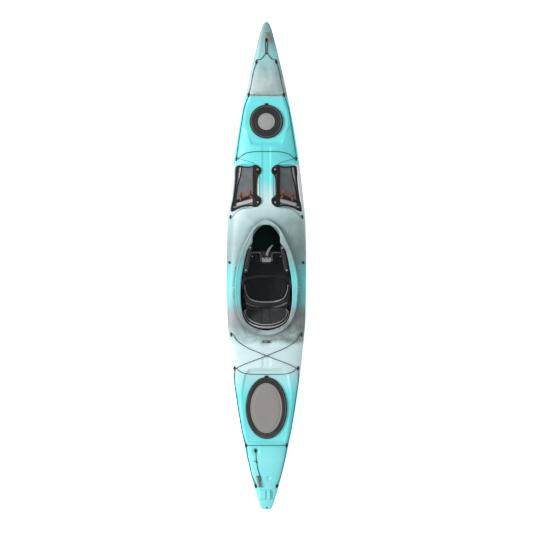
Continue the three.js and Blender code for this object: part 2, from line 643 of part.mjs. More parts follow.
// Thigh braces: a padded bar on each side, screwed under the moulded support at its front end. Its ends are
// shares of the rim's half width and of its length from the front.
const brace = { halfWidth: 16, thickness: 11, roundSteps: 4 };
const braceEndShares = [[0.514, 0.236], [0.658, 0.442]];
const braceLow = rimThickness + contactGap + brace.thickness;
for (const [name, side] of sides) {
  const [front, rear] = braceEndShares.map(([x, y]) => {
    return new THREE.Vector2(side * x * rimHalfWidth, rimFront - y * rimLength);
  });
  const heading = rear.clone().sub(front).angle();
  const outline = new THREE.Shape();
  outline.absarc(rear.x, rear.y, brace.halfWidth, heading - Math.PI / 2, heading + Math.PI / 2, false);
  outline.absarc(front.x, front.y, brace.halfWidth, heading + Math.PI / 2, heading - Math.PI / 2, false);
  const settings = { depth: brace.thickness, bevelEnabled: false, curveSegments: brace.roundSteps };
  const bar = new THREE.ExtrudeGeometry(outline, settings).translate(0, 0, -braceLow);
  const corners = bar.attributes.position;
  for (let i = 0; i < corners.count; i++) {
    corners.setZ(i, corners.getZ(i) + rimHeightAt(corners.getY(i)));
  }
  part(`thigh_brace_${name}`, bar, blackPlastic);
}

// Foot braces: a rail along the inside of each side of the hull and a pedal that slides on it.
const rail = { rimGap: 80, bulkheadGap: 95, z: 120, width: 26, thickness: 8, gap: 2 };
const railFrom = rimFront + rail.rimGap;
const railTo = bulkheadFronts.bow - rail.bulkheadGap;
const pedal = { width: 88, height: 104, thickness: 14, arm: 40, root: 3 };
const hullInnerHalf = (y) => {
  const share = (rail.z - rail.width / 2 - shellWall) / (sheerAt(y) - shellWall);
  const sectionHalf = hullSectionShares.map(([x, z]) => [z, x]);
  return (beamAt(y) - shellWall) * follow(sectionHalf, share);
};
for (const [name, side] of sides) {
  const start = new THREE.Vector3(side * hullInnerHalf(railFrom), railFrom, rail.z);
  const end = new THREE.Vector3(side * hullInnerHalf(railTo), railTo, rail.z);
  const along = end.clone().sub(start).normalize();
  const outward = new THREE.Vector3().crossVectors(along, AXIS_Z);
  const middle = start.clone().lerp(end, 1 / 2);
  middle.addScaledVector(outward, -side * (rail.gap + rail.thickness / 2));
  const place = new THREE.Matrix4().makeBasis(outward, along, AXIS_Z).setPosition(middle);
  const half = end.distanceTo(start) / 2;
  const bar = box(-rail.thickness / 2, rail.thickness / 2, -half, half, -rail.width / 2, rail.width / 2);
  part(`foot_rail_${name}`, bar, railMetal, place);
  const faceX = -side * (rail.thickness / 2 + contactGap);
  const armX = faceX - side * pedal.arm;
  const plateX = armX - side * pedal.width;
  const arm = box(
    Math.min(faceX, armX), Math.max(faceX, armX), -pedal.thickness, pedal.thickness, -rail.width / 2,
    rail.width / 2,
  );
  const overlap = armX + side * pedal.root;
  const plate = box(
    Math.min(plateX, overlap), Math.max(plateX, overlap), -pedal.thickness / 2, pedal.thickness / 2,
    -pedal.height / 2, pedal.height / 2,
  );
  part(`foot_pedal_${name}`, shape(joined([arm, plate])), blackPlastic, place);
}

// Padeyes: a base with a bridge that a cord passes under. The bridge spans across the heading.
const eye = { base: 26, baseHeight: 3, bridge: 9.5, hole: 6.5, width: 8, sink: 2 };
function padeyeShape(base, bridge, hole, width) {
  const outline = new THREE.Shape();
  outline.moveTo(-base / 2, -eye.sink);
  outline.lineTo(base / 2, -eye.sink);
  outline.lineTo(base / 2, eye.baseHeight);
  outline.lineTo(bridge, eye.baseHeight);
  outline.absarc(0, eye.baseHeight, bridge, 0, Math.PI, false);
  outline.lineTo(-base / 2, eye.baseHeight);
  const window = new THREE.Path();
  window.moveTo(hole, eye.baseHeight);
  window.absarc(0, eye.baseHeight, hole, 0, Math.PI, false);
  outline.holes = [window];
  const settings = { depth: width, bevelEnabled: false, curveSegments: 3 };
  const geometry = new THREE.ExtrudeGeometry(outline, settings);
  return geometry.translate(0, 0, -width / 2).rotateX(Math.PI / 2);
}

const lineRadius = 2.5;
const lineClearance = 1; // between a cord and the deck under it
const lineLift = lineRadius + lineClearance;
const spanLift = lineLift + 1.5 * lineClearance; // where a cord spans the crown of the deck
const eyeHeight = eye.baseHeight + lineRadius + 2 * contactGap;
// Each pair of padeyes: its place as shares of the half beam there and of the half length, and its heading in
// degrees.
const eyeShares = [
  ['bow_line_eye', 0.735, 0.836, 12], ['bow_cross_eye', 0.845, 0.702, 12],
  ['deck_bungee_eye', 0.925, 0.44, 8], ['pocket_eye', 0.925, 0.201, 3], ['side_eye', 0.925, 0.014, 0],
  ['rear_bungee_eye', 0.925, -0.281, -4], ['rear_line_eye', 0.92, -0.42, -7],
  ['stern_cross_eye', 0.92, -0.736, -11], ['stern_line_eye', 0.86, -0.902, -14],
];
const toggleEyeShares = [['bow_toggle_eye', 0, 0.9255, 0], ['stern_toggle_eye', -0.52, -0.7575, 8]];
const eyePlace = ([, beamShare, lengthShare]) => {
  const y = lengthShare * halfLength;
  return new THREE.Vector2(beamShare * beamAt(y), y);
};
const addEye = (name, x, y, heading) => {
  const geometry = padeyeShape(eye.base, eye.bridge, eye.hole, eye.width).applyMatrix4(onDeck(x, y, heading));
  part(name, seated(geometry), blackPlastic);
};
for (const row of eyeShares) {
  const { x, y } = eyePlace(row);
  for (const [sideName, side] of sides) {
    addEye(`${row[0]}_${sideName}`, side * x, y, side * row[3]);
  }
}
for (const row of toggleEyeShares) {
  const { x, y } = eyePlace(row);
  addEye(row[0], x, y, row[3]);
}
const lockBar = { rimGap: 52, base: 78, bridge: 15, hole: 11, width: 20 };
const lockBarShape = padeyeShape(lockBar.base, lockBar.bridge, lockBar.hole, lockBar.width);
part('lock_bar', seated(lockBarShape.applyMatrix4(onDeck(0, rimBack - lockBar.rimGap, 0))), greyPlastic);

// Deck lines. A route is a list of places over the deck, and passes through the padeyes that it names.
const lineSides = 6;
const eyeRow = (name) => eyeShares.find((row) => row[0] === name);
const above = (x, y, lift) => new THREE.Vector3(0, 0, lift).applyMatrix4(onDeck(x, y, 0));
function inEye(name, side, ahead = 0) {
  const row = eyeRow(name);
  const { x, y } = eyePlace(row);
  const place = onDeck(side * x, y, side * row[3]);
  return new THREE.Vector3(0, ahead, ahead === 0 ? eyeHeight : eyeHeight - contactGap).applyMatrix4(place);
}
// The spot beside a padeye's base where a bungee is hooked, on the side towards the middle of the boat.
function besideEye(name, side) {
  const row = eyeRow(name);
  const { x, y } = eyePlace(row);
  const place = onDeck(side * x, y, side * row[3]);
  const reach = eye.base / 2 + lineRadius + 2 * contactGap;
  return new THREE.Vector3(-side * reach, 0, lineLift).applyMatrix4(place);
}
// Places along the side of the deck between two others, at a share of the half beam.
const between = (a, b, count, share) => (side) => Array.from({ length: count }, (_, i) => {
  const y = THREE.MathUtils.lerp(a, b, (i + 1) / (count + 1));
  return above(side * beamAt(y) * share, y, lineLift);
});
const eyeY = (name) => eyeRow(name)[2] * halfLength;
const line = (points, steps = 1) => tube(points, lineRadius, lineSides, steps);

// The front line starts from the bow padeye, forks, and runs along both sides to the bungee padeyes.
const lineTail = 14; // how far a line runs straight on each side of a padeye
const fork = { behindEye: 109, fall: 13 };
const forkShares = [0.143, 0.286, 0.429];
const bowEyeY = toggleEyeShares[0][2] * halfLength;
const apexY = bowEyeY - fork.behindEye;
const frontSide = (side) => line([
  above(0, apexY, lineLift),
  ...forkShares.map((share, i) => {
    return above(side * share * beamAt(apexY), apexY - fork.fall * (i + 1), lineLift + lineClearance);
  }),
  inEye('bow_line_eye', side, lineTail),
  inEye('bow_line_eye', side),
  ...between(eyeY('bow_line_eye'), eyeY('bow_cross_eye'), 2, 0.82)(side),
  inEye('bow_cross_eye', side, lineTail),
  inEye('bow_cross_eye', side),
  inEye('bow_cross_eye', side, -lineTail),
  ...between(eyeY('bow_cross_eye'), eyeY('deck_bungee_eye'), 4, 0.91)(side),
  inEye('deck_bungee_eye', side, lineTail),
  inEye('deck_bungee_eye', side),
  inEye('deck_bungee_eye', side, -lineTail),
], 2);
const crossRun = (y, halfWidth, count) => Array.from({ length: count + 1 }, (_, i) => {
  return above(THREE.MathUtils.lerp(-halfWidth, halfWidth, i / count), y, spanLift);
});
const frontCrossY = eyeY('bow_cross_eye') + 2 * lineTail;
const bowRunY = (share) => THREE.MathUtils.lerp(apexY, bowEyeY - lineTail, share);
const bowRun = [0, 1 / 2, 1].map((share) => above(0, bowRunY(share), lineLift));
const frontLine = joined([
  ...sides.map(([, side]) => frontSide(side)),
  line(crossRun(frontCrossY, beamAt(frontCrossY) * 0.83, 8)),
  line(bowRun),
]);
part('front_deck_line', shape(frontLine), lineCord);

// Front bungee: an arch from padeye to padeye over the foredeck.
const arch = { reach: 55, points: 9 };
const archHalf = Math.abs(besideEye('deck_bungee_eye', 1).x);
const archPoints = Array.from({ length: arch.points }, (_, i) => {
  const x = THREE.MathUtils.lerp(-archHalf, archHalf, (i + 1) / (arch.points + 1));
  return above(x, eyeY('deck_bungee_eye') + arch.reach * (1 - (x / archHalf) ** 4), spanLift);
});
part(
  'front_bungee',
  line([besideEye('deck_bungee_eye', -1), ...archPoints, besideEye('deck_bungee_eye', 1)], 2),
  lineCord,
);

// Rear bungee: two runs that cross. Each row holds a share of the half beam, a share of the way to the
// crossing or on from it, and a 1 where the upper run is raised over the lower one.
const crossingShare = 0.63;
const towardsShares = [[0.82, 0.28, 0], [0.55, 0.6, 0], [0.2, 0.86, 1]];
const onwardShares = [[0.2, 0.22, 1], [0.62, 0.68, 0]];
const crossingY = THREE.MathUtils.lerp(eyeY('rear_bungee_eye'), eyeY('rear_line_eye'), crossingShare);
const crossingLift = lineRadius + lineClearance / 2;
const bungeeRow = (side, from, to, lift) => ([x, along, raised]) => {
  return above(side * beamAt(crossingY) * x, THREE.MathUtils.lerp(from, to, along), spanLift + raised * lift);
};
const rearRun = (side, lift) => line([
  besideEye('rear_bungee_eye', -side),
  ...towardsShares.map(bungeeRow(-side, eyeY('rear_bungee_eye'), crossingY, lift)),
  above(0, crossingY, spanLift + lift),
  ...onwardShares.map(bungeeRow(side, crossingY, eyeY('rear_line_eye'), lift)),
  besideEye('rear_line_eye', side),
], 2);
part('rear_bungee', shape(joined([rearRun(1, crossingLift), rearRun(-1, 0)])), lineCord);

// Rear line: along both sides, with a run across the deck on each side of the hatch.
const rearSide = (side) => line([
  inEye('rear_line_eye', side, lineTail),
  inEye('rear_line_eye', side),
  inEye('rear_line_eye', side, -lineTail),
  ...between(eyeY('rear_line_eye'), eyeY('stern_cross_eye'), 5, 0.93)(side),
  inEye('stern_cross_eye', side, lineTail),
  inEye('stern_cross_eye', side),
  inEye('stern_cross_eye', side, -lineTail),
  ...between(eyeY('stern_cross_eye'), eyeY('stern_line_eye'), 3, 0.9)(side),
  inEye('stern_line_eye', side, lineTail),
  inEye('stern_line_eye', side),
  inEye('stern_line_eye', side, -lineTail),
], 2);
const rearCrossY = eyeY('rear_line_eye') - 2.5 * lineTail;
const sternCrossY = eyeY('stern_cross_eye') - 2 * lineTail;
const rearLine = joined([
  ...sides.map(([, side]) => rearSide(side)),
  line(crossRun(rearCrossY, beamAt(rearCrossY) * 0.95, 14)),
  line(crossRun(sternCrossY, beamAt(sternCrossY) * 0.94, 12)),
]);
part('rear_deck_line', shape(rearLine), lineCord);

// Deck pockets, each laid out in its own plane. The strap's ends are shares of the pocket's width and length.
const pocketEdge = { width: 7, height: 4 };
const netting = { low: 1, high: 2.6, pitch: 28, bar: 6, margin: 4 };
const pocketStrap = { width: 26, thickness: 1.5 };
const strapEndShares = [[0.732, 0.144], [0.065, 0.232]];
const pocketLock = { length: 18, width: 13, height: 9 };
const pocketBungeeRoutes = [
  [[136, 141], [137, 118], [134, 84]], [[53, 156], [50, 128], [32, 102]],
  [[137, 118], [94, 124], [50, 128]],
];
const isInside = (point, outline) => {
  return outline.reduce((odd, a, i) => {
    const b = outline[(i + 1) % outline.length];
    const reached = ((b.x - a.x) * (point.y - a.y)) / (b.y - a.y) + a.x;
    return a.y > point.y !== b.y > point.y && point.x < reached ? !odd : odd;
  }, false);
};
for (const [name, side] of sides) {
  const place = pocketPlace(side);
  const edgeOuter = pocketOutline(side, contactGap);
  const edgeInner = pocketOutline(side, contactGap + pocketEdge.width);
  const edge = cut(solid(slab(edgeOuter, 0, pocketEdge.height)), [slab(edgeInner, -cutOverrun, cutOverrun)]);
  part(`pocket_edge_${name}`, shape(edge), blackPlastic, place);

  const netOutline = pocketOutline(side, 2 * contactGap + pocketEdge.width);
  const limit = pocketOutline(side, 2 * contactGap + pocketEdge.width + netting.margin);
  const gaps = [];
  const half = (netting.pitch - netting.bar) / 2;
  for (let x = netting.pitch / 2; x < pocketWidth; x += netting.pitch) {
    for (let y = netting.pitch / 2; y < pocket.length; y += netting.pitch) {
      const corners = [[-half, -half], [half, -half], [half, half], [-half, half]].map(([dx, dy]) => {
        return new THREE.Vector2(side * x + dx, y + dy);
      });
      if (corners.every((corner) => isInside(corner, limit))) {
        gaps.push(box(side * x - half, side * x + half, y - half, y + half, -cutOverrun, cutOverrun));
      }
    }
  }
  const net = cut(solid(slab(netOutline, netting.low, netting.high)), [mergeGeometries(gaps)]);
  part(`pocket_mesh_${name}`, shape(net), meshFabric, place);

  const [outer, inner] = strapEndShares.map(([x, y]) => {
    return new THREE.Vector2(side * x * pocketWidth, y * pocket.length);
  });
  const slant = inner.clone().sub(outer);
  const strapLow = netting.high + contactGap;
  const webbing = box(
    0, slant.length(), -pocketStrap.width / 2, pocketStrap.width / 2, strapLow,
    strapLow + pocketStrap.thickness,
  );
  webbing.rotateZ(slant.angle()).translate(outer.x, outer.y, 0);
  part(`pocket_strap_${name}`, webbing, greyWebbing, place);

  const bungeeZ = netting.high + contactGap + lineRadius;
  const cords = pocketBungeeRoutes.map((route) => {
    return line(route.map(([x, y]) => new THREE.Vector3(side * x, y, bungeeZ)));
  });
  part(`pocket_bungee_${name}`, shape(joined(cords)), orangeCord, place);
  const [lockX, lockY] = pocketBungeeRoutes[0][1];
  const lockLow = bungeeZ + lineRadius + contactGap;
  const lock = box(
    side * lockX - pocketLock.width / 2, side * lockX + pocketLock.width / 2, lockY - pocketLock.length / 2,
    lockY + pocketLock.length / 2, lockLow, lockLow + pocketLock.height,
  );
  part(`cord_lock_${name}`, lock, greyPlastic, place);
}

// Carry toggles at both ends: a tube handle on a short cord from its padeye. A handle's middle lies beside
// and ahead of its padeye, turned by its heading in degrees. Each route holds places beside and ahead of the
// padeye and the lift over the deck.
const handle = { length: 92, radius: 10, sides: 10, clearance: 5 };
const toggleCordSides = 8;
const bowToggle = { beside: 15, ahead: 20, heading: 33.7 };
const sternToggle = { beside: 27.3, ahead: -240, heading: 15.6 };
const bowCordRoute = [[0, 4.3, 6.1], [0.4, 8, 6.9], [1.4, 11.3, 8.8], [2.7, 13.8, 11.4], [4.2, 16.2, 14.1]];
const sternCordRoute = [
  [0.6, -4.3, 6.1], [1.5, -11, 6], [3.3, -37, 4], [8.3, -90, 4], [19.3, -147, 4], [31.3, -187, 5],
  [38, -212, 10], [39.2, -239, 15],
];
const addToggle = (name, row, place, route) => {
  const spot = eyePlace(row);
  const lift = handle.radius + handle.clearance + contactGap;
  const turn = THREE.MathUtils.degToRad(place.heading);
  const ends = [-1, 1].map((way) => {
    const reach = (way * handle.length) / 2;
    const x = spot.x + place.beside + reach * Math.sin(turn);
    return above(x, spot.y + place.ahead - reach * Math.cos(turn), lift);
  });
  part(name, tube(ends, handle.radius, handle.sides, 1), greyPlastic);
  const points = route.map(([beside, ahead, up]) => above(spot.x + beside, spot.y + ahead, up));
  part(`${name}_cord`, tube(points, lineRadius, toggleCordSides, 2), lineCord);
};
addToggle('bow_toggle', toggleEyeShares[0], bowToggle, bowCordRoute);
addToggle('stern_toggle', toggleEyeShares[1], sternToggle, sternCordRoute);

export default kayak;
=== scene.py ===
import math

import bmesh
import bpy
import numpy as np
from mathutils import Matrix, Vector


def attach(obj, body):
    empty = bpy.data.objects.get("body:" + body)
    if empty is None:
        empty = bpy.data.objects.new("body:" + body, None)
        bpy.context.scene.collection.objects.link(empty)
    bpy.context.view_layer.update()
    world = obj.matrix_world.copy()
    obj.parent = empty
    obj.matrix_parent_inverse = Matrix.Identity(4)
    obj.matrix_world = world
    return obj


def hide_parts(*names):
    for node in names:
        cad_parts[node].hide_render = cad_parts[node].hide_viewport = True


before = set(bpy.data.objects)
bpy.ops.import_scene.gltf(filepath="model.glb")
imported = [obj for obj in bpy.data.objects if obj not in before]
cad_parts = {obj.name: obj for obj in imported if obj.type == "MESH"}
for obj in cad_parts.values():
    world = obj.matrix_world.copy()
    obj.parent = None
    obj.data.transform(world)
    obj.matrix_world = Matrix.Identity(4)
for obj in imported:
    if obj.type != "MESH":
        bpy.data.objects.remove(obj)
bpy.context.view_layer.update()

# ---------------------------------------------------------------------------------------------------
# The studio: a near-white floor under the boat, a wide soft light from the left, a weaker one from
# above, and a long lens straight above the boat with the bow at the top of the picture.
# ---------------------------------------------------------------------------------------------------
scene = bpy.context.scene
scene.view_settings.view_transform = "Standard"

LENS, SENSOR, FIELD, DECK_LEVEL = 240.0, 36.0, 4.168, 0.26
camera = bpy.data.objects.new("camera", bpy.data.cameras.new("camera"))
camera.data.lens = LENS
camera.data.sensor_width = SENSOR
camera.data.clip_end = 100.0
# The boat stands a little off the middle of the picture, as in the photograph.
camera.location = (0.0008, -0.0039, DECK_LEVEL + FIELD * LENS / SENSOR)
scene.collection.objects.link(camera)
scene.camera = camera


def put(tree, kind, inputs=(), **settings):
    """A node of that kind in the tree. An input is a number, a colour or a socket that feeds it."""
    node = tree.nodes.new(kind)
    for key, value in settings.items():
        setattr(node, key, value)
    for key, value in dict(inputs).items():
        if isinstance(value, bpy.types.NodeSocket):
            tree.links.new(value, node.inputs[key])
        else:
            node.inputs[key].default_value = value
    return node


def finish(name, **values):
    """A new material with its plain values on the shader's own sockets."""
    material = bpy.data.materials.new(name)
    material.use_nodes = True
    tree = material.node_tree
    shader = tree.nodes["Principled BSDF"]
    for key, value in values.items():
        shader.inputs[key.replace("_", " ")].default_value = value
    return material, tree, shader


def ink(red, green, blue):
    """A colour given in the usual 0 to 255 steps."""
    steps = np.array([red, green, blue]) / 255
    linear = np.where(steps <= 0.04045, steps / 12.92, ((steps + 0.055) / 1.055) ** 2.4)
    return (*linear.tolist(), 1.0)


floor_mesh = bmesh.new()
bmesh.ops.create_grid(floor_mesh, x_segments=4, y_segments=4, size=9)
bmesh.ops.translate(floor_mesh, vec=(0, 0, -0.001), verts=floor_mesh.verts)
floor = bpy.data.objects.new("floor", bpy.data.meshes.new("floor"))
floor_mesh.to_mesh(floor.data)
scene.collection.objects.link(floor)
floor_paper, floor_tree, floor_shader = finish("floor_paper", Roughness=0.95)
mottle = put(floor_tree, "ShaderNodeTexNoise", {"Scale": 0.8})
paper = put(floor_tree, "ShaderNodeMix", {0: mottle.outputs["Fac"], 6: ink(246, 247, 247), 7: ink(250, 250, 250)},
            data_type="RGBA")
floor_tree.links.new(paper.outputs[2], floor_shader.inputs["Base Color"])
floor_shader.inputs["Emission Color"].default_value = ink(250, 250, 250)
floor_shader.inputs["Emission Strength"].default_value = 0.6
floor.data.materials.append(floor_paper)

sky = bpy.data.worlds.new("sky")
sky.use_nodes = True
sky.node_tree.nodes["Background"].inputs["Color"].default_value = (0.93, 0.97, 1.0, 1.0)
sky.node_tree.nodes["Background"].inputs["Strength"].default_value = 0.44
scene.world = sky


def soft_sun(name, energy, spread, elevation, azimuth):
    light = bpy.data.objects.new(name, bpy.data.lights.new(name, "SUN"))
    light.data.energy = energy
    light.data.angle = math.radians(spread)
    up, round_about = math.radians(elevation), math.radians(azimuth)
    away = Vector((math.cos(up) * math.cos(round_about), math.cos(up) * math.sin(round_about), math.sin(up)))
    light.rotation_euler = away.to_track_quat("Z", "Y").to_euler()
    scene.collection.objects.link(light)


soft_sun("window_light", 2.3, 22, 38, 176)
soft_sun("top_light", 0.42, 40, 86, 20)

# ---------------------------------------------------------------------------------------------------
# The shell: hull and deck are one moulding of speckled plastic that fades from turquoise to pale mint
# and grey along the boat. The deck carries hatch recesses, pocket recesses, troughs and a rudder rest.
# ---------------------------------------------------------------------------------------------------
HALF_LENGTH, HALF_BEAM, SHEER, CROWN = 1.905, 0.311, 0.245, 0.104
# Along the boat, in shares of the half length: its plan, sheer, crown and keel in shares of their own sizes.
PLAN = [(-1, 0.11), (-0.985, 0.157), (-0.93, 0.262), (-0.78, 0.498), (-0.583, 0.725), (-0.386, 0.888),
        (-0.189, 0.985), (-0.02, 1), (0.156, 0.985), (0.304, 0.911), (0.45, 0.8), (0.6, 0.649),
        (0.747, 0.463), (0.895, 0.249), (0.97, 0.13), (1, 0.05)]
SHEER_LINE = [(-1, 1.18), (-0.7, 1.05), (-0.1, 1), (0.45, 1.05), (0.75, 1.18), (1, 1.38)]
CROWN_LINE = [(-1, 0.06), (-0.9, 0.2), (-0.7, 0.34), (-0.45, 0.44), (-0.29, 0.46), (0.02, 0.76), (0.2, 1),
              (0.32, 0.92), (0.5, 0.66), (0.7, 0.42), (0.9, 0.22), (1, 0.08)]
KEEL_LINE = [(-1, 0.9), (-0.985, 0.6), (-0.95, 0.27), (-0.89, 0.1), (-0.78, 0.02), (-0.6, 0), (0.6, 0),
             (0.78, 0.03), (0.88, 0.1), (0.95, 0.34), (0.985, 0.72), (1, 1.12)]
HULL_SECTION = [(0, 0), (0.15, 0), (0.55, 0.05), (0.82, 0.17), (0.93, 0.38), (0.985, 0.68), (1, 1)]
DECK_SECTION = [(0, 1), (0.22, 0.97), (0.45, 0.86), (0.66, 0.68), (0.83, 0.46), (0.95, 0.18), (1, 0)]
NOSE, SHELL_WALL = 0.022, 0.004
# Each hatch has its middle along the boat, half width, half length and the height of its seat.
BOW_HATCH = (1.127, 0.132, 0.132, 0.30607)
STERN_HATCH = (-1.11, 0.163, 0.242, 0.27098)
# The flat that each hatch stands on: how its cut flares, how its sides fall, and its right half's corners.
RECESS_FLARE, PLATFORM_FALL = 1.444, 1.3
BOW_PLATFORM = [(0.085, 1.338), (0.118, 1.318), (0.160, 1.215), (0.174, 1.100), (0.140, 1.015), (0.108, 0.962)]
STERN_PLATFORM = [(0.125, -0.826), (0.158, -0.850), (0.187, -0.990), (0.191, -1.120), (0.178, -1.255),
                  (0.140, -1.368)]


def follow(table, at):
    """Smooth value of a table of pairs at each place."""
    places, values = np.array(table, float).T
    secants = np.diff(values) / np.diff(places)
    before = np.concatenate([secants[:1], secants])
    after = np.concatenate([secants, secants[-1:]])
    same = before * after > 0
    slopes = np.where(same, 2 * before * after / np.where(same, before + after, 1), 0)
    at = np.asarray(at, float)
    k = np.clip(np.searchsorted(places, at, side="right") - 1, 0, len(places) - 2)
    step = places[k + 1] - places[k]
    t = np.clip((at - places[k]) / step, 0, 1)
    a = t * t * (3 - 2 * t)
    rise = t * (1 - t) ** 2 * slopes[k] - t * t * (1 - t) * slopes[k + 1]
    return values[k] * (1 - a) + values[k + 1] * a + step * rise


def beam_at(y):
    return HALF_BEAM * follow(PLAN, np.asarray(y) / HALF_LENGTH)


def sheer_at(y):
    return SHEER * follow(SHEER_LINE, np.asarray(y) / HALF_LENGTH)


def keel_at(y):
    return SHEER * follow(KEEL_LINE, np.asarray(y) / HALF_LENGTH)


def deck_top(x, y):
    crown = CROWN * follow(CROWN_LINE, np.asarray(y) / HALF_LENGTH)
    return sheer_at(y) + crown * follow(DECK_SECTION, np.minimum(np.abs(x) / beam_at(y), 1))


def nose_share(y):
    """The plan closes in a small round at each tip."""
    past = np.clip((np.abs(y) - (HALF_LENGTH - NOSE)) / NOSE, 0, 1)
    return (1 - past ** 2.4) ** (1 / 2.4)


def ease(t):
    t = np.clip(t, 0, 1)
    return t * t * (3 - 2 * t)


def lower_of(a, b, blend):
    """The lower of two heights, rounded where they cross."""
    h = np.clip(0.5 + 0.5 * (b - a) / blend, 0, 1)
    return b * (1 - h) + a * h - blend * h * (1 - h)


def smooth_loop(points, count, closed=True):
    """Points at even steps along a smooth line through the given ones."""
    p = np.array(points, float)
    if closed:
        p = np.vstack([p[-1:], p, p[:2]])
    else:
        p = np.vstack([2 * p[0] - p[1], p, 2 * p[-1] - p[-2]])
    line = []
    for a, b, c, d in zip(p[:-3], p[1:-2], p[2:-1], p[3:]):
        t1 = max(np.linalg.norm(b - a), 1e-9) ** 0.5
        t2 = t1 + max(np.linalg.norm(c - b), 1e-9) ** 0.5
        t3 = t2 + max(np.linalg.norm(d - c), 1e-9) ** 0.5
        t = np.linspace(t1, t2, 24, endpoint=False)[:, None]
        ab, bc, cd = a + (b - a) * t / t1, b + (c - b) * (t - t1) / (t2 - t1), c + (d - c) * (t - t2) / (t3 - t2)
        abc = ab + (bc - ab) * t / t2
        bcd = bc + (cd - bc) * (t - t1) / (t3 - t1)
        line.append(abc + (bcd - abc) * (t - t1) / (t2 - t1))
    line.append(p[1:2] if closed else p[-2:-1])
    line = np.vstack(line)
    run = np.concatenate([[0], np.cumsum(np.linalg.norm(np.diff(line, axis=0), axis=1))])
    marks = np.linspace(0, run[-1], count, endpoint=not closed)
    return np.column_stack([np.interp(marks, run, line[:, k]) for k in range(line.shape[1])])


def to_segment(x, y, start, end):
    """How far each place lies from a straight line between two points."""
    (ax, ay), (bx, by) = start, end
    ex, ey = bx - ax, by - ay
    t = np.clip(((x - ax) * ex + (y - ay) * ey) / (ex * ex + ey * ey), 0, 1)
    return np.hypot(x - ax - t * ex, y - ay - t * ey)


def loop_depth(x, y, loop):
    """How far each place lies inside a closed line, and below zero outside it."""
    nearest = np.full(x.shape, 9.0)
    inside = np.zeros(x.shape, bool)
    for (ax, ay), (bx, by) in zip(loop, np.roll(loop, -1, axis=0)):
        nearest = np.minimum(nearest, to_segment(x, y, (ax, ay), (bx, by)))
        crosses = (ay > y) != (by > y)
        inside ^= crosses & (x < (bx - ax) * (y - ay) / (by - ay or 1e-9) + ax)
    return np.where(inside, nearest, -nearest)


def mirrored(half):
    """A closed outline from the points of its right half, front to back."""
    return list(half) + [(-x, y) for x, y in reversed(half)]


def inside_box(x, y, left, right, back, front):
    """How far each place lies inside a rectangle of the deck, and below zero outside it."""
    return np.minimum.reduce([x - left, right - x, y - back, front - y])


def oval_growth(x, y, hatch, grow):
    """How far each place lies outside a hatch's oval."""
    middle, rx, ry, _ = hatch
    out = np.hypot(x, y - middle)
    share = np.hypot(x / (rx + grow), (y - middle) / (ry + grow))
    return out * (1 - 1 / np.maximum(share, 1e-6))


# Each deck pocket is a shallow recess whose outline is drawn from its inner back corner, in its own plane.
POCKET_BACK, POCKET_INNER, POCKET_OUTER, POCKET_LENGTH = 0.430, 0.078, 0.276, 0.362
POCKET_MIDDLE, POCKET_SINK = POCKET_BACK + POCKET_LENGTH / 2, 0.0085
POCKET_OUTLINE = [(0.05, 0.01), (0.2, 0), (0.8, 0.03), (0.84, 0.3), (0.92, 0.7), (1, 1), (0.6, 0.95),
                  (0.12, 0.93), (0, 0.86), (0.01, 0.12)]


def pocket_place(side):
    def corner(x, y):
        return Vector((side * x, y, float(deck_top(x, y))))
    origin = corner(POCKET_INNER, POCKET_BACK)
    along = (corner(POCKET_INNER, POCKET_BACK + POCKET_LENGTH) - origin).normalized()
    across = (corner(POCKET_OUTER, POCKET_MIDDLE) - corner(POCKET_INNER, POCKET_MIDDLE)).normalized()
    up = (across.cross(along) * side).normalized()
    outward = along.cross(up)
    place = Matrix((outward, along, up)).transposed().to_4x4()
    place.translation = origin
    return place


POCKET_FALL = float(deck_top(POCKET_INNER, POCKET_MIDDLE) - deck_top(POCKET_OUTER, POCKET_MIDDLE))
POCKET_WIDTH = math.hypot(POCKET_OUTER - POCKET_INNER, POCKET_FALL)
POCKET_LOOP = smooth_loop([(x * POCKET_WIDTH, (1 - y) * POCKET_LENGTH) for x, y in POCKET_OUTLINE], 90)


def in_pocket(side, x, y):
    """A place over the pocket's plane: how far it is outward and ahead, and the plane's height there."""
    place = pocket_place(side)
    out, ahead, up, origin = (np.array(place.col[k][:3]) for k in range(4))
    dx, dy = x - origin[0], y - origin[1]
    plane = origin[2] - (up[0] * dx + up[1] * dy) / up[2]
    dz = plane - origin[2]
    return side * (out[0] * dx + out[1] * dy + out[2] * dz), ahead[0] * dx + ahead[1] * dy + ahead[2] * dz, plane


# Boxes on the deck, as left, right, back and front: two troughs, and the rudder rest with its slot and well.
TROUGHS, TROUGH_DEPTH = [(-0.031, 0.031, 0.480, 0.945), (-0.031, 0.031, -0.840, -0.700)], 0.005
REST_BLOCK, REST_TOP = (-0.052, 0.029, -1.822, -1.748), 0.30999
REST_SLOT, SLOT_DEPTH = (-0.0062, 0.0062, -1.818, -1.758), 0.013
REST_WELL, WELL_DEPTH = (0.031, 0.054, -1.812, -1.760), 0.009
# Dishes round the lock bar, by the stern padeye and on the tail: middle, half sizes, depth, edge, steepness.
DISHES = [(0, -0.598, 0.046, 0.026, 0.006, 1.15, 2.2), (-0.083, -1.446, 0.030, 0.034, 0.006, 1.1, 1.8),
          (0.017, -1.658, 0.018, 0.022, 0.005, 1.1, 1.6)]


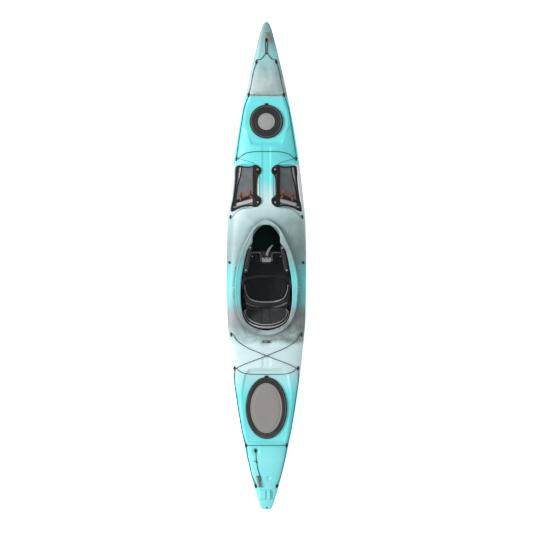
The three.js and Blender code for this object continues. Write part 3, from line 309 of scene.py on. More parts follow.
def deck_height(x, y):
    """The moulded deck: its plain crown with every recess, trough, step and block."""
    z = deck_top(x, y)
    for box in TROUGHS:
        z = z - TROUGH_DEPTH * ease(inside_box(x, y, *box) / 0.012 + 0.5)
    # A low step in front of the cockpit.
    ring = np.hypot(x / 0.150, (y - 0.300) / 0.100)
    z = z + 0.003 * ease((1.22 - ring) * 2.2) * (y > 0.3)
    for middle_x, middle_y, half_x, half_y, depth, edge, steepness in DISHES:
        dish = np.hypot((x - middle_x) / half_x, (y - middle_y) / half_y)
        z = z - depth * ease((edge - dish) * steepness)
    block = inside_box(x, y, *REST_BLOCK)
    z = np.where(block > -0.006, z + (REST_TOP - z) * ease(block / 0.006 + 0.6), z)
    z = z - SLOT_DEPTH * ease(inside_box(x, y, *REST_SLOT) / 0.003 + 0.6)
    z = z - WELL_DEPTH * ease(inside_box(x, y, *REST_WELL) / 0.006 + 0.5)
    for side in (-1, 1):
        out, ahead, plane = in_pocket(side, x, y)
        sunk = loop_depth(out, ahead, POCKET_LOOP)
        down = plane - POCKET_SINK - z
        z = z + np.where(side * x > 0, down, 0) * ease((sunk + 0.004) / 0.012)
    # Each hatch stands on a flat with straight sides: cut into the deck's crown, and raised over its flanks.
    for hatch, corners in ((BOW_HATCH, BOW_PLATFORM), (STERN_HATCH, STERN_PLATFORM)):
        loop = np.array(mirrored(corners))
        out = np.maximum(-loop_depth(x, y, loop), 0)
        near = np.abs(y - hatch[0]) < hatch[2] + 0.16
        sunk = lower_of(z, hatch[3] + out / RECESS_FLARE, 0.002)
        raised = -lower_of(-sunk, -(hatch[3] - PLATFORM_FALL * out), 0.0015)
        z = np.where(near, raised, z)
    return z


def object_from(name, bm):
    mesh = bpy.data.meshes.new(name)
    bm.to_mesh(mesh)
    bm.free()
    piece = bpy.data.objects.new(name, mesh)
    scene.collection.objects.link(piece)
    for polygon in mesh.polygons:
        polygon.use_smooth = True
    return piece


def moulded_grid(columns, rows, place):
    """A grid whose corners are moved by a function of two shares, across and along, from 0 to 1."""
    bm = bmesh.new()
    bmesh.ops.create_grid(bm, x_segments=columns, y_segments=rows, size=0.5)
    flat = np.array([v.co[:2] for v in bm.verts]) + 0.5
    x, y, z = place(flat[:, 0], flat[:, 1])
    for vert, at in zip(bm.verts, np.column_stack([x, y, z])):
        vert.co = at
    return bm


def thicken(piece, depth, inside=0):
    """Gives a piece a wall, whose inner side has the material of that index."""
    wall = piece.modifiers.new("wall", "SOLIDIFY")
    wall.thickness = depth
    wall.offset = -1
    wall.material_offset = inside


def turned(piece, up):
    """Turns a piece's faces so that they look up for 1, or down for -1."""
    if sum(p.normal.z * p.area for p in piece.data.polygons) * up < 0:
        piece.data.flip_normals()


def corners_of(piece):
    at = np.empty(len(piece.data.vertices) * 3)
    piece.data.vertices.foreach_get("co", at)
    return at.reshape(-1, 3)


# Rows are closer together where the deck is busy.
ROW_WEIGHTS = [(-1.905, 2.2), (-1.86, 1.6), (-1.7, 1.5), (-1.45, 0.8), (-0.75, 1.0), (-0.5, 0.9), (0.3, 0.9),
               (0.45, 1.25), (0.8, 1.25), (1.3, 1.0), (1.4, 0.7), (1.8, 0.8), (1.86, 2.2), (1.905, 3.0)]
row_places = np.linspace(-HALF_LENGTH, HALF_LENGTH, 2000)
row_run = np.cumsum(np.interp(row_places, *np.array(ROW_WEIGHTS).T))
row_run = (row_run - row_run[0]) / (row_run[-1] - row_run[0])


def row_at(v):
    return np.interp(v, row_run, row_places)


RIM_FRONT, RIM_BACK, RIM_LENGTH, RIM_HALF = 0.360, -0.540, 0.900, 0.243
# The rim's height at its back, its rise to the front and the same as a slope.
RIM_BACK_HEIGHT, RIM_RISE, RIM_SLOPE = 0.30401, 0.07003, 0.0778
RIM_OUTLINE = [(0, 0), (0.36, 0.056), (0.695, 0.214), (0.888, 0.363), (1, 0.513), (1, 0.661), (0.917, 0.812),
               (0.66, 0.932), (0.26, 0.992), (0, 1)]
OPENING_OUTLINE = [(0, 0.044), (0.15, 0.048), (0.3, 0.066), (0.4, 0.098), (0.44, 0.155), (0.449, 0.2),
                   (0.52, 0.226), (0.61, 0.262), (0.68, 0.33), (0.745, 0.417), (0.805, 0.52), (0.825, 0.662),
                   (0.79, 0.774), (0.685, 0.872), (0.45, 0.925), (0.2, 0.95), (0, 0.957)]
RIM_POINTS = 192


def cockpit_loop(shares):
    half = [(x * RIM_HALF, RIM_FRONT - y * RIM_LENGTH) for x, y in shares]
    return smooth_loop(half + [(-x, y) for x, y in half[-2:0:-1]], RIM_POINTS)


def grown(loop, out):
    """A closed line, clockwise, moved out along its own normals."""
    along = np.roll(loop, -1, axis=0) - np.roll(loop, 1, axis=0)
    along /= np.linalg.norm(along, axis=1)[:, None]
    return loop + np.column_stack([-along[:, 1], along[:, 0]]) * np.asarray(out).reshape(-1, 1)


rim_loop = cockpit_loop(RIM_OUTLINE)
opening_loop = cockpit_loop(OPENING_OUTLINE)


def rim_height(y):
    return RIM_BACK_HEIGHT + (np.asarray(y) - RIM_BACK) / RIM_LENGTH * RIM_RISE


def deck_place(u, v):
    y = row_at(v)
    share = 2 * u - 1
    # Columns stand a little closer together towards the sheer.
    share = np.sign(share) * (1 - (1 - np.abs(share)) ** 1.12)
    x = share * beam_at(y) * nose_share(y)
    full = np.abs(share) * beam_at(y)
    return x, y, deck_height(np.where(nose_share(y) < 1, np.sign(share) * full, x), y)


def cut_hole(bm, depth_of, to_edge):
    """Removes the faces well inside a line and pulls the edge of the hole onto it."""
    faces = list(bm.faces)
    middles = np.array([f.calc_center_median()[:2] for f in faces])
    depth = depth_of(middles[:, 0], middles[:, 1])
    doomed = [f for f, d in zip(faces, depth) if d > 0]
    edge = {v for f in doomed for v in f.verts}
    bmesh.ops.delete(bm, geom=doomed, context="FACES")
    for vert in [v for v in edge if v.is_valid and v.is_boundary]:
        vert.co = to_edge(vert.co)


def to_loop(loop):
    def pull(co):
        gap = np.hypot(loop[:, 0] - co.x, loop[:, 1] - co.y)
        k = int(gap.argmin())
        x, y = loop[k]
        return Vector((x, y, float(deck_height(np.array([x]), np.array([y]))[0])))
    return pull


def to_oval(hatch, grow):
    def pull(co):
        middle, rx, ry, seat = hatch
        turn = math.atan2((co.y - middle) / (ry + grow), co.x / (rx + grow))
        return Vector(((rx + grow) * math.cos(turn), middle + (ry + grow) * math.sin(turn), seat))
    return pull


deck_bm = moulded_grid(88, 500, deck_place)
# The deck ends under the coaming and inside the hatch rims.
UNDER_RIM, UNDER_HATCH = -0.030, -0.012
foot_loop = grown(rim_loop, UNDER_RIM)
cut_hole(deck_bm, lambda x, y: loop_depth(x, y, foot_loop[::2]), to_loop(smooth_loop(foot_loop, 900)))
for hatch in (BOW_HATCH, STERN_HATCH):
    cut_hole(deck_bm, lambda x, y: -oval_growth(x, y, hatch, UNDER_HATCH), to_oval(hatch, UNDER_HATCH))
bmesh.ops.remove_doubles(deck_bm, verts=deck_bm.verts, dist=0.0004)
bmesh.ops.recalc_face_normals(deck_bm, faces=deck_bm.faces)
deck_shell = object_from("deck_shell", deck_bm)
turned(deck_shell, 1)
thicken(deck_shell, SHELL_WALL, 1)


def shade_by(piece, shares):
    """Writes on a piece how much painted shade, with some grey pigment, each corner gets, for its material."""
    layer = piece.data.attributes.new("rim_shade", "FLOAT", "POINT")
    layer.data.foreach_set("value", np.asarray(shares, dtype=np.float32))


def rim_shade_share(at):
    """A share of painted shade that falls from 1 at the rim to 0 a few centimetres outside it."""
    off_rim = np.maximum(-loop_depth(at[:, 0], at[:, 1], rim_loop), 0)
    return np.exp(-(off_rim / 0.025) ** 2)


# Painted shade, with some grey pigment, in the deck's fillet round the foot of the coaming.
shade_by(deck_shell, rim_shade_share(corners_of(deck_shell)))

section_x, section_z = np.array(HULL_SECTION).T
section_run = np.concatenate([[0], np.cumsum(np.hypot(np.diff(section_x), np.diff(section_z)))])
section_run /= section_run[-1]


def hull_place(u, v):
    y = row_at(v)
    share = 2 * u - 1
    across = follow(list(zip(section_run, section_x)), np.abs(share))
    up = follow(list(zip(section_run, section_z)), np.abs(share))
    x = np.sign(share) * across * beam_at(y) * nose_share(y)
    return x, y, keel_at(y) + up * (sheer_at(y) - keel_at(y))


hull_bm = moulded_grid(72, 380, hull_place)
bmesh.ops.remove_doubles(hull_bm, verts=hull_bm.verts, dist=0.0004)
bmesh.ops.recalc_face_normals(hull_bm, faces=hull_bm.faces)
hull_shell = object_from("hull_shell", hull_bm)
turned(hull_shell, -1)
thicken(hull_shell, SHELL_WALL, 1)


def effect(name, inputs, outputs):
    """An empty node group with named numbers in and named sockets out."""
    group = bpy.data.node_groups.new(name, "ShaderNodeTree")
    for label, value in inputs.items():
        socket = group.interface.new_socket(label, in_out="INPUT", socket_type="NodeSocketFloat")
        socket.default_value = value
    for label in outputs:
        group.interface.new_socket(label, in_out="OUTPUT", socket_type="NodeSocketFloat")
    return group, put(group, "NodeGroupInput"), put(group, "NodeGroupOutput")


def use(tree, group, **values):
    """The outputs of a node group in a tree, with the numbers it is given."""
    numbers = {key.replace("_", " "): value for key, value in values.items()}
    return put(tree, "ShaderNodeGroup", numbers, node_tree=group).outputs


def object_place(tree):
    return put(tree, "ShaderNodeTexCoord").outputs["Object"]


def axes_of(tree, where):
    return put(tree, "ShaderNodeSeparateXYZ", {0: where}).outputs


def noise_of(tree, where, scale, detail, **more):
    noise = put(tree, "ShaderNodeTexNoise", {"Vector": where, "Scale": scale, "Detail": detail, **more})
    return noise.outputs["Fac"]


def cells_of(tree, where, scale):
    return put(tree, "ShaderNodeTexVoronoi", {"Vector": where, "Scale": scale}).outputs["Distance"]


def ranged(tree, value, low, high, start=0.0, end=1.0):
    """A value carried from one range into another, and held at its ends."""
    return put(tree, "ShaderNodeMapRange", {0: value, 1: low, 2: high, 3: start, 4: end}).outputs[0]


def maths(tree, operation, *values):
    return put(tree, "ShaderNodeMath", dict(enumerate(values)), operation=operation).outputs[0]


def join(tree, node, **sockets):
    """Joins sockets to the inputs of a node."""
    for key, socket in sockets.items():
        tree.links.new(socket, node.inputs[key.replace("_", " ")])


# Grain of a moulded surface: a fine pebble, larger soft waves, and small pale specks.
grain_group, grain_in, grain_out = effect("moulded_grain", {"Scale": 600.0, "Speck Share": 0.3},
                                          ["Height", "Specks", "Waves"])
where = object_place(grain_group)
specks = cells_of(grain_group, where, grain_in.outputs["Scale"])
join(grain_group, grain_out, Height=noise_of(grain_group, where, grain_in.outputs["Scale"], 4.0, Roughness=0.6),
     Specks=ranged(grain_group, specks, grain_in.outputs["Speck Share"], 0.02),
     Waves=noise_of(grain_group, where, 7.0, 2.0))

# Wear: long fine scratches along the boat and blotchy scuffs, each a mask from 0 to 1.
wear_group, wear_in, wear_out = effect("handling_wear", {"Scratches": 0.3, "Scuffs": 0.3}, ["Scratch", "Scuff"])
where = object_place(wear_group)
stretch = put(wear_group, "ShaderNodeMapping", {"Vector": where, "Scale": (420.0, 9.0, 420.0)})
hair = ranged(wear_group, noise_of(wear_group, stretch.outputs[0], 1.0, 3.0), 0.66, 0.78)
patch = ranged(wear_group, noise_of(wear_group, where, 5.0, 5.0, Roughness=0.7), 0.5, 0.72)
scratch = maths(wear_group, "MULTIPLY", hair, patch)
join(wear_group, wear_out, Scratch=maths(wear_group, "MULTIPLY", scratch, wear_in.outputs["Scratches"]),
     Scuff=maths(wear_group, "MULTIPLY", patch, wear_in.outputs["Scuffs"]))

# The colour at places along the boat.
TURQUOISE, MINT, SKY_GREY = ink(110, 236, 237), ink(218, 241, 241), ink(182, 208, 207)
STONE = ink(152, 160, 159)
BANDS = [(-1.90, ink(136, 236, 237)), (-1.50, ink(138, 240, 241)), (-1.25, TURQUOISE), (-1.00, TURQUOISE),
         (-0.87, ink(176, 236, 237)), (-0.80, MINT), (-0.62, MINT), (-0.57, SKY_GREY), (-0.47, STONE),
         (-0.37, STONE), (-0.29, ink(120, 208, 209)), (-0.10, ink(108, 224, 225)), (-0.02, ink(114, 208, 209)),
         (0.06, ink(146, 180, 179)), (0.20, ink(158, 182, 181)), (0.36, SKY_GREY), (0.42, ink(198, 222, 222)),
         (0.50, MINT), (0.58, ink(190, 234, 235)), (0.68, TURQUOISE), (1.315, TURQUOISE),
         (1.335, ink(190, 208, 207)), (1.43, ink(200, 216, 215)), (1.54, ink(168, 204, 204)),
         (1.64, ink(154, 216, 217)), (1.71, ink(146, 204, 205)), (1.78, ink(138, 182, 181)),
         (1.90, ink(132, 172, 171))]
# How far grey pigment has streaked into the colour at each place along the boat.
STREAKS = [(-1.9, 0.04), (-0.9, 0.02), (-0.615, 0.05), (-0.59, 0.85), (-0.5, 0.95), (-0.38, 0.6), (-0.29, 0.15),
           (-0.05, 0.2), (0.03, 0.5), (0.1, 0.6), (0.36, 0.32), (0.46, 0.08), (0.7, 0.02), (1.315, 0.02),
           (1.335, 0.4), (1.5, 0.5), (1.62, 0.2), (1.9, 0.28)]


def blend_of(tree, share, first, second, kind="MIX"):
    mix = put(tree, "ShaderNodeMix", {0: share, 6: first, 7: second}, data_type="RGBA", blend_type=kind)
    return mix.outputs[2]


def bumped(tree, shader, heights):
    """Joins heights, each with its depth in metres, into the shader's normal."""
    normal = None
    for height, depth in heights:
        bump = put(tree, "ShaderNodeBump", {"Height": height, "Distance": depth, "Strength": 1.0})
        if normal is not None:
            tree.links.new(normal, bump.inputs["Normal"])
        normal = bump.outputs["Normal"]
    tree.links.new(normal, shader.inputs["Normal"])


def along_ramp(tree, share, table):
    """Colours or grey levels at places along the boat, as a ramp."""
    ramp = put(tree, "ShaderNodeValToRGB", {0: share})
    stops = ramp.color_ramp.elements
    for k, (place, value) in enumerate(table):
        at = (place + HALF_LENGTH) / (2 * HALF_LENGTH)
        stop = stops[0] if k == 0 else stops[-1] if k == len(table) - 1 else stops.new(at)
        stop.position = at
        stop.color = value if isinstance(value, tuple) else (value, value, value, 1)
    return ramp.outputs[0]


def shell_finish(name, depth):
    """The shell's plastic. The depth darkens it, as inside the boat where little light reaches."""
    material, tree, shader = finish(name, Coat_Roughness=0.3, IOR=1.48)
    where = object_place(tree)
    axes = axes_of(tree, where)
    drift = noise_of(tree, where, 7.0, 5.0, Roughness=0.65)
    along = maths(tree, "ADD", axes["Y"], maths(tree, "MULTIPLY_ADD", drift, 0.06, -0.03))
    share = ranged(tree, along, -HALF_LENGTH, HALF_LENGTH)
    swirl = noise_of(tree, where, 4.5, 9.0, Roughness=0.72, Distortion=1.6)
    # The grey streaks are grey pigment, and they lean towards the right side, which paints shade on the side away
    # from the light.
    streak_and_right_shade = ranged(tree, maths(tree, "MULTIPLY_ADD", axes["X"], 0.36, swirl), 0.39, 0.67)
    grey = maths(tree, "MULTIPLY", streak_and_right_shade, along_ramp(tree, share, STREAKS))
    marbled_and_shaded = blend_of(tree, grey, along_ramp(tree, share, BANDS), ink(98, 102, 101))
    # Painted shade, with some grey pigment, darkens the coaming's wall under its lip and the fillet at its foot.
    rim_shade = put(tree, "ShaderNodeAttribute", attribute_name="rim_shade").outputs["Fac"]
    painted_rim_shade = maths(tree, "MULTIPLY", rim_shade, ranged(tree, drift, 0.35, 0.65, 0.45, 0.75))
    marbled_and_shaded = blend_of(tree, painted_rim_shade, marbled_and_shaded, ink(76, 94, 94))
    # A pale strip of plastic runs outside each deck pocket.
    edge = maths(tree, "MULTIPLY_ADD", axes["Y"], 0.132, maths(tree, "ABSOLUTE", axes["X"]))
    ends = maths(tree, "MULTIPLY", ranged(tree, axes["Y"], 0.800, 0.786), ranged(tree, axes["Y"], 0.430, 0.450))
    strip = maths(tree, "MULTIPLY", ends, ranged(tree, edge, 0.299, 0.303))
    striped = blend_of(tree, strip, marbled_and_shaded, ink(216, 220, 220))
    grain = use(tree, grain_group, Scale=520.0, Speck_Share=0.26)
    wear = use(tree, wear_group, Scratches=0.5, Scuffs=0.28)
    clouded = blend_of(tree, grain["Waves"], striped, ink(232, 240, 240), "MULTIPLY")
    speckled = blend_of(tree, grain["Specks"], clouded, ink(206, 232, 232))
    scratched = blend_of(tree, wear["Scratch"], speckled, ink(236, 250, 250))
    shaded = blend_of(tree, depth, scratched, ink(0, 34, 31))
    join(tree, shader, Base_Color=shaded, Roughness=ranged(tree, wear["Scuff"], 0.0, 0.3, 0.38, 0.56))
    shader.inputs["Specular IOR Level"].default_value = 0.5 * (1 - depth)
    shader.inputs["Coat Weight"].default_value = 0.06 * (1 - depth)
    bumped(tree, shader, [(grain["Height"], 0.00014), (grain["Waves"], 0.0012)])
    return material


shell_plastic = shell_finish("shell_plastic", 0.0)
shell_inside = shell_finish("shell_plastic_inside", 0.97)
for piece, node in ((deck_shell, "deck"), (hull_shell, "hull")):
    piece.data.materials.append(shell_plastic)
    piece.data.materials.append(shell_inside)
    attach(piece, "shell")
    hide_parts(node)

# ---------------------------------------------------------------------------------------------------
# The coaming: the moulded rim round the cockpit. A wall rises from the deck to a rolled lip, and a broad
# band slopes in from the lip to the keyhole opening, wider in front where it supports the thighs.
# ---------------------------------------------------------------------------------------------------


def skin(rings, closed=True, lengths=None):
    """A skin over rings of as many points each. With lengths it carries a map of metres along it."""
    rings = np.array(rings, float)
    if closed:
        rings = np.concatenate([rings, rings[:, :1]], axis=1)
    rows, columns = rings.shape[0] - 1, rings.shape[1] - 1

    def place(u, v):
        return rings[np.rint(v * rows).astype(int), np.rint(u * columns).astype(int)].T

    bm = bmesh.new()
    bmesh.ops.create_grid(bm, x_segments=columns, y_segments=rows, size=0.5)
    if lengths is not None:
        chart = bm.loops.layers.uv.new("along")
        for face in bm.faces:
            for loop in face.loops:
                u, v = loop.vert.co.x + 0.5, loop.vert.co.y + 0.5
                loop[chart].uv = (u, lengths[int(round(v * rows))])
    flat = np.array([v.co[:2] for v in bm.verts]) + 0.5
    for vert, at in zip(bm.verts, np.column_stack(place(flat[:, 0], flat[:, 1]))):
        vert.co = at
    bmesh.ops.remove_doubles(bm, verts=bm.verts, dist=1e-5)
    bmesh.ops.recalc_face_normals(bm, faces=bm.faces)
    return bm


def add_mesh(bm, extra):
    """Moves the faces of one unfinished mesh into another."""
    spare = bpy.data.meshes.new("spare")
    extra.to_mesh(spare)
    extra.free()
    bm.from_mesh(spare)
    bpy.data.meshes.remove(spare)


def joint_piece(name, meshes, materials):
    """One piece of several closed meshes, each with its own material."""
    combined = bmesh.new()
    for index, bm in enumerate(meshes):
        for face in bm.faces:
            face.material_index = min(index, len(materials) - 1)
        add_mesh(combined, bm)
    piece = object_from(name, combined)
    for material in materials:
        piece.data.materials.append(material)
    return piece


def rim_wall_at(drop):
    """How far the wall stands outside the rim's edge at a depth under its top: it leans out 29 mm in 74 mm."""
    return -0.017 + (drop - 0.004) / 0.074 * 0.029


# The wall leans out until it meets the deck, so its foot is found in a few steps.
foot_drop = np.full(RIM_POINTS, 0.04)
for _ in range(8):
    foot_line = grown(rim_loop, rim_wall_at(foot_drop))
    foot_drop = rim_height(foot_line[:, 1]) - deck_height(foot_line[:, 0], foot_line[:, 1])


def rim_ring(out, drop):
    line = grown(rim_loop, out)
    return np.column_stack([line, rim_height(line[:, 1]) - drop])


def foot_ring(out, lift):
    line = grown(rim_loop, rim_wall_at(foot_drop) + out)
    return np.column_stack([line, deck_height(line[:, 0], line[:, 1]) + lift])


def sill_ring(share, drop, out):
    """A ring between the lip and the opening."""
    inner, outer = grown(opening_loop, out), grown(rim_loop, -0.012)
    line = outer + (inner - outer) * share
    return np.column_stack([line, rim_height(line[:, 1]) - drop])


# The foot on the deck and the wall, then the lip from under its edge over its top, the band down to the
# opening, the band's underside, and the wall's inner side.
wall_rings = [foot_ring(0.016, -0.0008), foot_ring(0.010, 0.0008), foot_ring(0.005, 0.003)]
for share in (0.85, 0.6, 0.35):
    drop = foot_drop * share
    wall_rings.append(rim_ring(rim_wall_at(drop), drop))
for out, drop in ((-0.016, 0.0105), (-0.012, 0.0085), (-0.004, 0.0080), (-0.001, 0.0068), (0, 0.0045),
                  (-0.0008, 0.0018), (-0.003, 0.0004), (-0.006, 0), (-0.009, 0.0004), (-0.012, 0.0016)):
    wall_rings.append(rim_ring(out, drop))
for share, drop, out in ((0.12, 0.0024, 0), (0.25, 0.0025, 0), (0.4, 0.0027, 0), (0.55, 0.0030, 0),
                         (0.7, 0.0037, 0), (0.85, 0.0054, 0), (0.95, 0.0070, 0), (1, 0.0086, 0), (1, 0.0098, 0.001),
                         (0.98, 0.0102, 0.004), (0.85, 0.0100, 0), (0.6, 0.0084, 0), (0.2, 0.0079, 0)):
    wall_rings.append(sill_ring(share, drop, out))
wall_rings.append(rim_ring(-0.022, 0.0105))
for share in (0.5, 1.0):
    drop = foot_drop * share
    wall_rings.append(rim_ring(rim_wall_at(drop) - 0.006, drop))
wall_rings.append(foot_ring(-0.006, -0.012))
wall_rings.append(wall_rings[0])
coaming = joint_piece("coaming", [skin(wall_rings)], [shell_plastic])
rim_corners = corners_of(coaming)
under_lip = rim_height(rim_corners[:, 1]) - rim_corners[:, 2]
# Painted shade, with some grey pigment, where the coaming lies more than 4 mm under its lip's top: the wall, its
# foot and the band's fall to the opening.
shade_by(coaming, ease((under_lip - 0.004) / 0.006) * rim_shade_share(rim_corners))
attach(coaming, "shell")

# ---------------------------------------------------------------------------------------------------
# The bulkheads: grey foam slabs cut to the inside of the shell, one behind the bow hatch and one behind
# the cockpit. They keep their own shape and get the look of sealed foam.
# ---------------------------------------------------------------------------------------------------


def coat(node, material):
    """Gives a node of the frame a finish."""
    piece = bpy.data.objects[node]
    piece.data.materials.clear()
    piece.data.materials.append(material)


foam, tree, shader = finish("bulkhead_foam", Roughness=0.95, Specular_IOR_Level=0.2)
where = object_place(tree)
cells = cells_of(tree, where, 320.0)
cell_shade = blend_of(tree, cells, ink(48, 50, 53), ink(78, 81, 84))
clouds = noise_of(tree, where, 14.0, 4.0)
join(tree, shader, Base_Color=blend_of(tree, clouds, cell_shade, ink(40, 42, 44)))
bumped(tree, shader, [(cells, 0.0006)])
for end in ("bow", "stern"):
    coat(f"{end}_bulkhead", foam)

# ---------------------------------------------------------------------------------------------------
# The hatches: soft rubber covers snapped over moulded rims, with raised rings, a pull tab at the front
# and a stiff grey panel let into the top. They lift straight off.
# ---------------------------------------------------------------------------------------------------


def rubber(name, dark, light, dust, scuffs=0.8):
    material, tree, shader = finish(name, Specular_IOR_Level=0.35)
    grain = use(tree, grain_group, Scale=900.0, Speck_Share=0.16)
    wear = use(tree, wear_group, Scratches=0.5, Scuffs=scuffs)
    tone = blend_of(tree, grain["Waves"], dark, light)
    dusted = blend_of(tree, wear["Scuff"], tone, dust)
    speckled = blend_of(tree, grain["Specks"], dusted, dust)
    join(tree, shader, Base_Color=speckled, Roughness=ranged(tree, wear["Scuff"], 0.0, 0.8, 0.5, 0.8))
    bumped(tree, shader, [(grain["Height"], 0.00015)])
    return material


hatch_rubber = rubber("hatch_rubber", ink(24, 25, 26), ink(42, 43, 44), ink(74, 75, 76))
ring_rubber = rubber("hatch_ring_rubber", ink(60, 62, 63), ink(82, 84, 85), ink(112, 114, 115))
disc_plastic = rubber("bow_hatch_disc", ink(150, 151, 149), ink(162, 163, 160), ink(176, 177, 174), 0.25)
panel_plastic = rubber("hatch_panel", ink(138, 132, 128), ink(150, 144, 140), ink(164, 159, 155), 0.25)
# Rings that stand higher than this over the hatch's seat are of the lighter rubber.
RING_POINTS, LIGHT_RING = 128, 0.0155


def turns(count):
    """Even steps of a full turn."""
    return np.arange(count) * 2 * math.pi / count


def oval_rings(hatch, *steps):
    """Rings round a hatch's oval, each with how far it lies outside and how high over the hatch's seat."""
    middle, rx, ry, seat = hatch
    turn = turns(RING_POINTS)
    return [np.column_stack([(rx + grow) * np.cos(turn), middle + (ry + grow) * np.sin(turn),
                             np.full(RING_POINTS, seat + z)]) for grow, z in steps]


def oval_point(hatch, z):
    return np.tile([0, hatch[0], hatch[3] + z], (RING_POINTS, 1))


def rounded_block(size, radius, at, segments=3):
    bm = bmesh.new()
    bmesh.ops.create_cube(bm, size=1)
    bmesh.ops.scale(bm, vec=size, verts=bm.verts)
    bmesh.ops.bevel(bm, geom=bm.edges[:], offset=radius, segments=segments, profile=0.5, affect="EDGES",
                    material=-1)
    bmesh.ops.transform(bm, matrix=at if isinstance(at, Matrix) else Matrix.Translation(at), verts=bm.verts)
    return bm


def pull_tab(hatch):
    """A rounded tab with three finger ridges, moulded on the cover's front edge."""
    middle, _, ry, seat = hatch
    bm = rounded_block((0.036, 0.024, 0.005), 0.0022, (0, middle + ry, seat + 0.0068))
    for vert in bm.verts:
        ahead = vert.co.y - middle - ry
        vert.co.x *= 1 - 0.35 * max(ahead, 0) / 0.012
        vert.co.y = min(vert.co.y, middle + ry + 0.0119)
    for k in (0.002, 0.006, 0.010):
        ridge = rounded_block((0.020, 0.0016, 0.0014), 0.0006, (0, middle + ry + k, seat + 0.0096), 2)
        add_mesh(bm, ridge)
    return bm


def hatch_set(name, hatch, panel_x, panel_y, rings, panel_finish):
    """The lid, its lighter rings, its panel and the moulded rim that it snaps on."""
    plate = (hatch[0], panel_x, panel_y, hatch[3])
    lid_rings = [oval_point(hatch, 0.0093)]
    lid_rings += oval_rings(hatch, (-0.012, 0.0093), (-0.009, 0.0085), (-0.009, 0.0012), (-0.008, 0.0004),
                            (-0.001, 0.0003), (0, 0.0012), (-0.0002, 0.0100), (-0.0015, 0.0135), (-0.004, 0.0150))
    bands = []
    for inner, outer, height in rings:
        crest = -(outer + inner) / 2
        lid_rings += oval_rings(hatch, (-outer, 0.0142), (-outer - 0.0015, height), (crest, height + 0.0004),
                                (-inner + 0.0015, height), (-inner, 0.0142))
        if height > LIGHT_RING:
            bands.append(skin(oval_rings(
                hatch, (-outer - 0.0012, height - 0.0016), (-outer - 0.0018, height + 0.0003),
                (crest, height + 0.0008), (-inner + 0.0018, height + 0.0003), (-inner + 0.0012, height - 0.0016),
                (-outer - 0.0012, height - 0.0016))))
    lid_rings += oval_rings(plate, (0.006, 0.0150), (0.003, 0.0160), (0.0012, 0.0150), (0.0006, 0.0133))
    lid_rings.append(oval_point(hatch, 0.0133))
    lid = joint_piece(f"{name}_lid", [skin(lid_rings), pull_tab(hatch)], [hatch_rubber, hatch_rubber])
    band = joint_piece(f"{name}_lid_ring", bands, [ring_rubber])
    disc = oval_rings(plate, (-0.0004, 0.0137), (0, 0.0150), (-0.0002, 0.0172), (-0.0014, 0.0186), (-0.004, 0.0188),
                      (-0.011, 0.0188), (-0.012, 0.0183), (-0.0135, 0.0183), (-0.0145, 0.0188), (-0.040, 0.0191))
    panel = joint_piece(f"{name}_top_panel", [skin([oval_point(plate, 0.0137), *disc, oval_point(plate, 0.0193)])],
                        [panel_finish])
    rim = joint_piece(f"{name}_rim", [skin(oval_rings(
        hatch, (UNDER_HATCH, -0.004), (-0.0093, 0), (-0.0094, 0.0070), (-0.0104, 0.0084), (-0.0118, 0.0089),
        (-0.0132, 0.0084), (-0.0143, 0.0070), (-0.0143, -0.010), (UNDER_HATCH, -0.010),
        (UNDER_HATCH, -0.004)))], [shell_plastic])
    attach(rim, "shell")
    for piece, slot in ((lid, "hatch_rubber"), (band, "hatch_rubber"), (panel, "hatch_panel")):
        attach(piece, name)
    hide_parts(f"{name}_cover")
    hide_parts(f"{name}_panel")


# Each ring of a lid has its inner and outer distance from the edge, and its height over the seat.
hatch_set("bow_hatch", BOW_HATCH, 0.066, 0.066,
          [(0.020, 0.006, 0.0160), (0.037, 0.024, 0.0152), (0.055, 0.042, 0.0152)], disc_plastic)
hatch_set("stern_hatch", STERN_HATCH, 0.125, 0.196,
          [(0.0150, 0.0070, 0.0163), (0.031, 0.021, 0.0150)], panel_plastic)

# ---------------------------------------------------------------------------------------------------
# The seat pan: a black moulded tray on a foot, with side plates that hang from the cockpit rim. It keeps
# its own shape, with its edges broken and the look of textured plastic rubbed pale where hands reach.
# ---------------------------------------------------------------------------------------------------


def tough_plastic(name, dark, light, worn, roughness=0.5):
    material, tree, shader = finish(name, Specular_IOR_Level=0.45)
    grain = use(tree, grain_group, Scale=1400.0, Speck_Share=0.12)
    wear = use(tree, wear_group, Scratches=0.8, Scuffs=0.6)
    tone = blend_of(tree, grain["Waves"], dark, light)
    rubbed = blend_of(tree, wear["Scuff"], tone, worn)
    scratched = blend_of(tree, wear["Scratch"], rubbed, worn)
    join(tree, shader, Base_Color=scratched,
         Roughness=ranged(tree, wear["Scuff"], 0.0, 0.6, roughness - 0.1, roughness + 0.2))
    bumped(tree, shader, [(grain["Height"], 0.0002)])
    return material


def soften(node, width, segments=2):
    """Breaks the edges of a node of the frame."""
    piece = bpy.data.objects[node]
    weld = piece.modifiers.new("weld", "WELD")
    weld.merge_threshold = 0.00005
    edge = piece.modifiers.new("edge", "BEVEL")
    edge.width = width
    edge.segments = segments
    edge.limit_method = "ANGLE"
    edge.angle_limit = math.radians(35)


black_plastic = tough_plastic("black_plastic", ink(20, 21, 23), ink(34, 35, 37), ink(70, 72, 74))
grey_plastic = tough_plastic("grey_plastic", ink(96, 100, 103), ink(122, 126, 128), ink(160, 163, 164))
coat("seat_base", black_plastic)
soften("seat_base", 0.0015)

# ---------------------------------------------------------------------------------------------------
# The seat cushions: foam in a black woven cover, the front one notched for its pull tab and hinged so
# that it lifts the legs. Pale piping runs round them, and sewn seams divide them.
# ---------------------------------------------------------------------------------------------------
weave_group, weave_in, weave_out = effect("woven_cloth", {"Threads": 900.0}, ["Height", "Shade"])
where = object_place(weave_group)
axes = axes_of(weave_group, where)


def thread_wave(along):
    return maths(weave_group, "SINE", maths(weave_group, "MULTIPLY", along, weave_in.outputs["Threads"]))


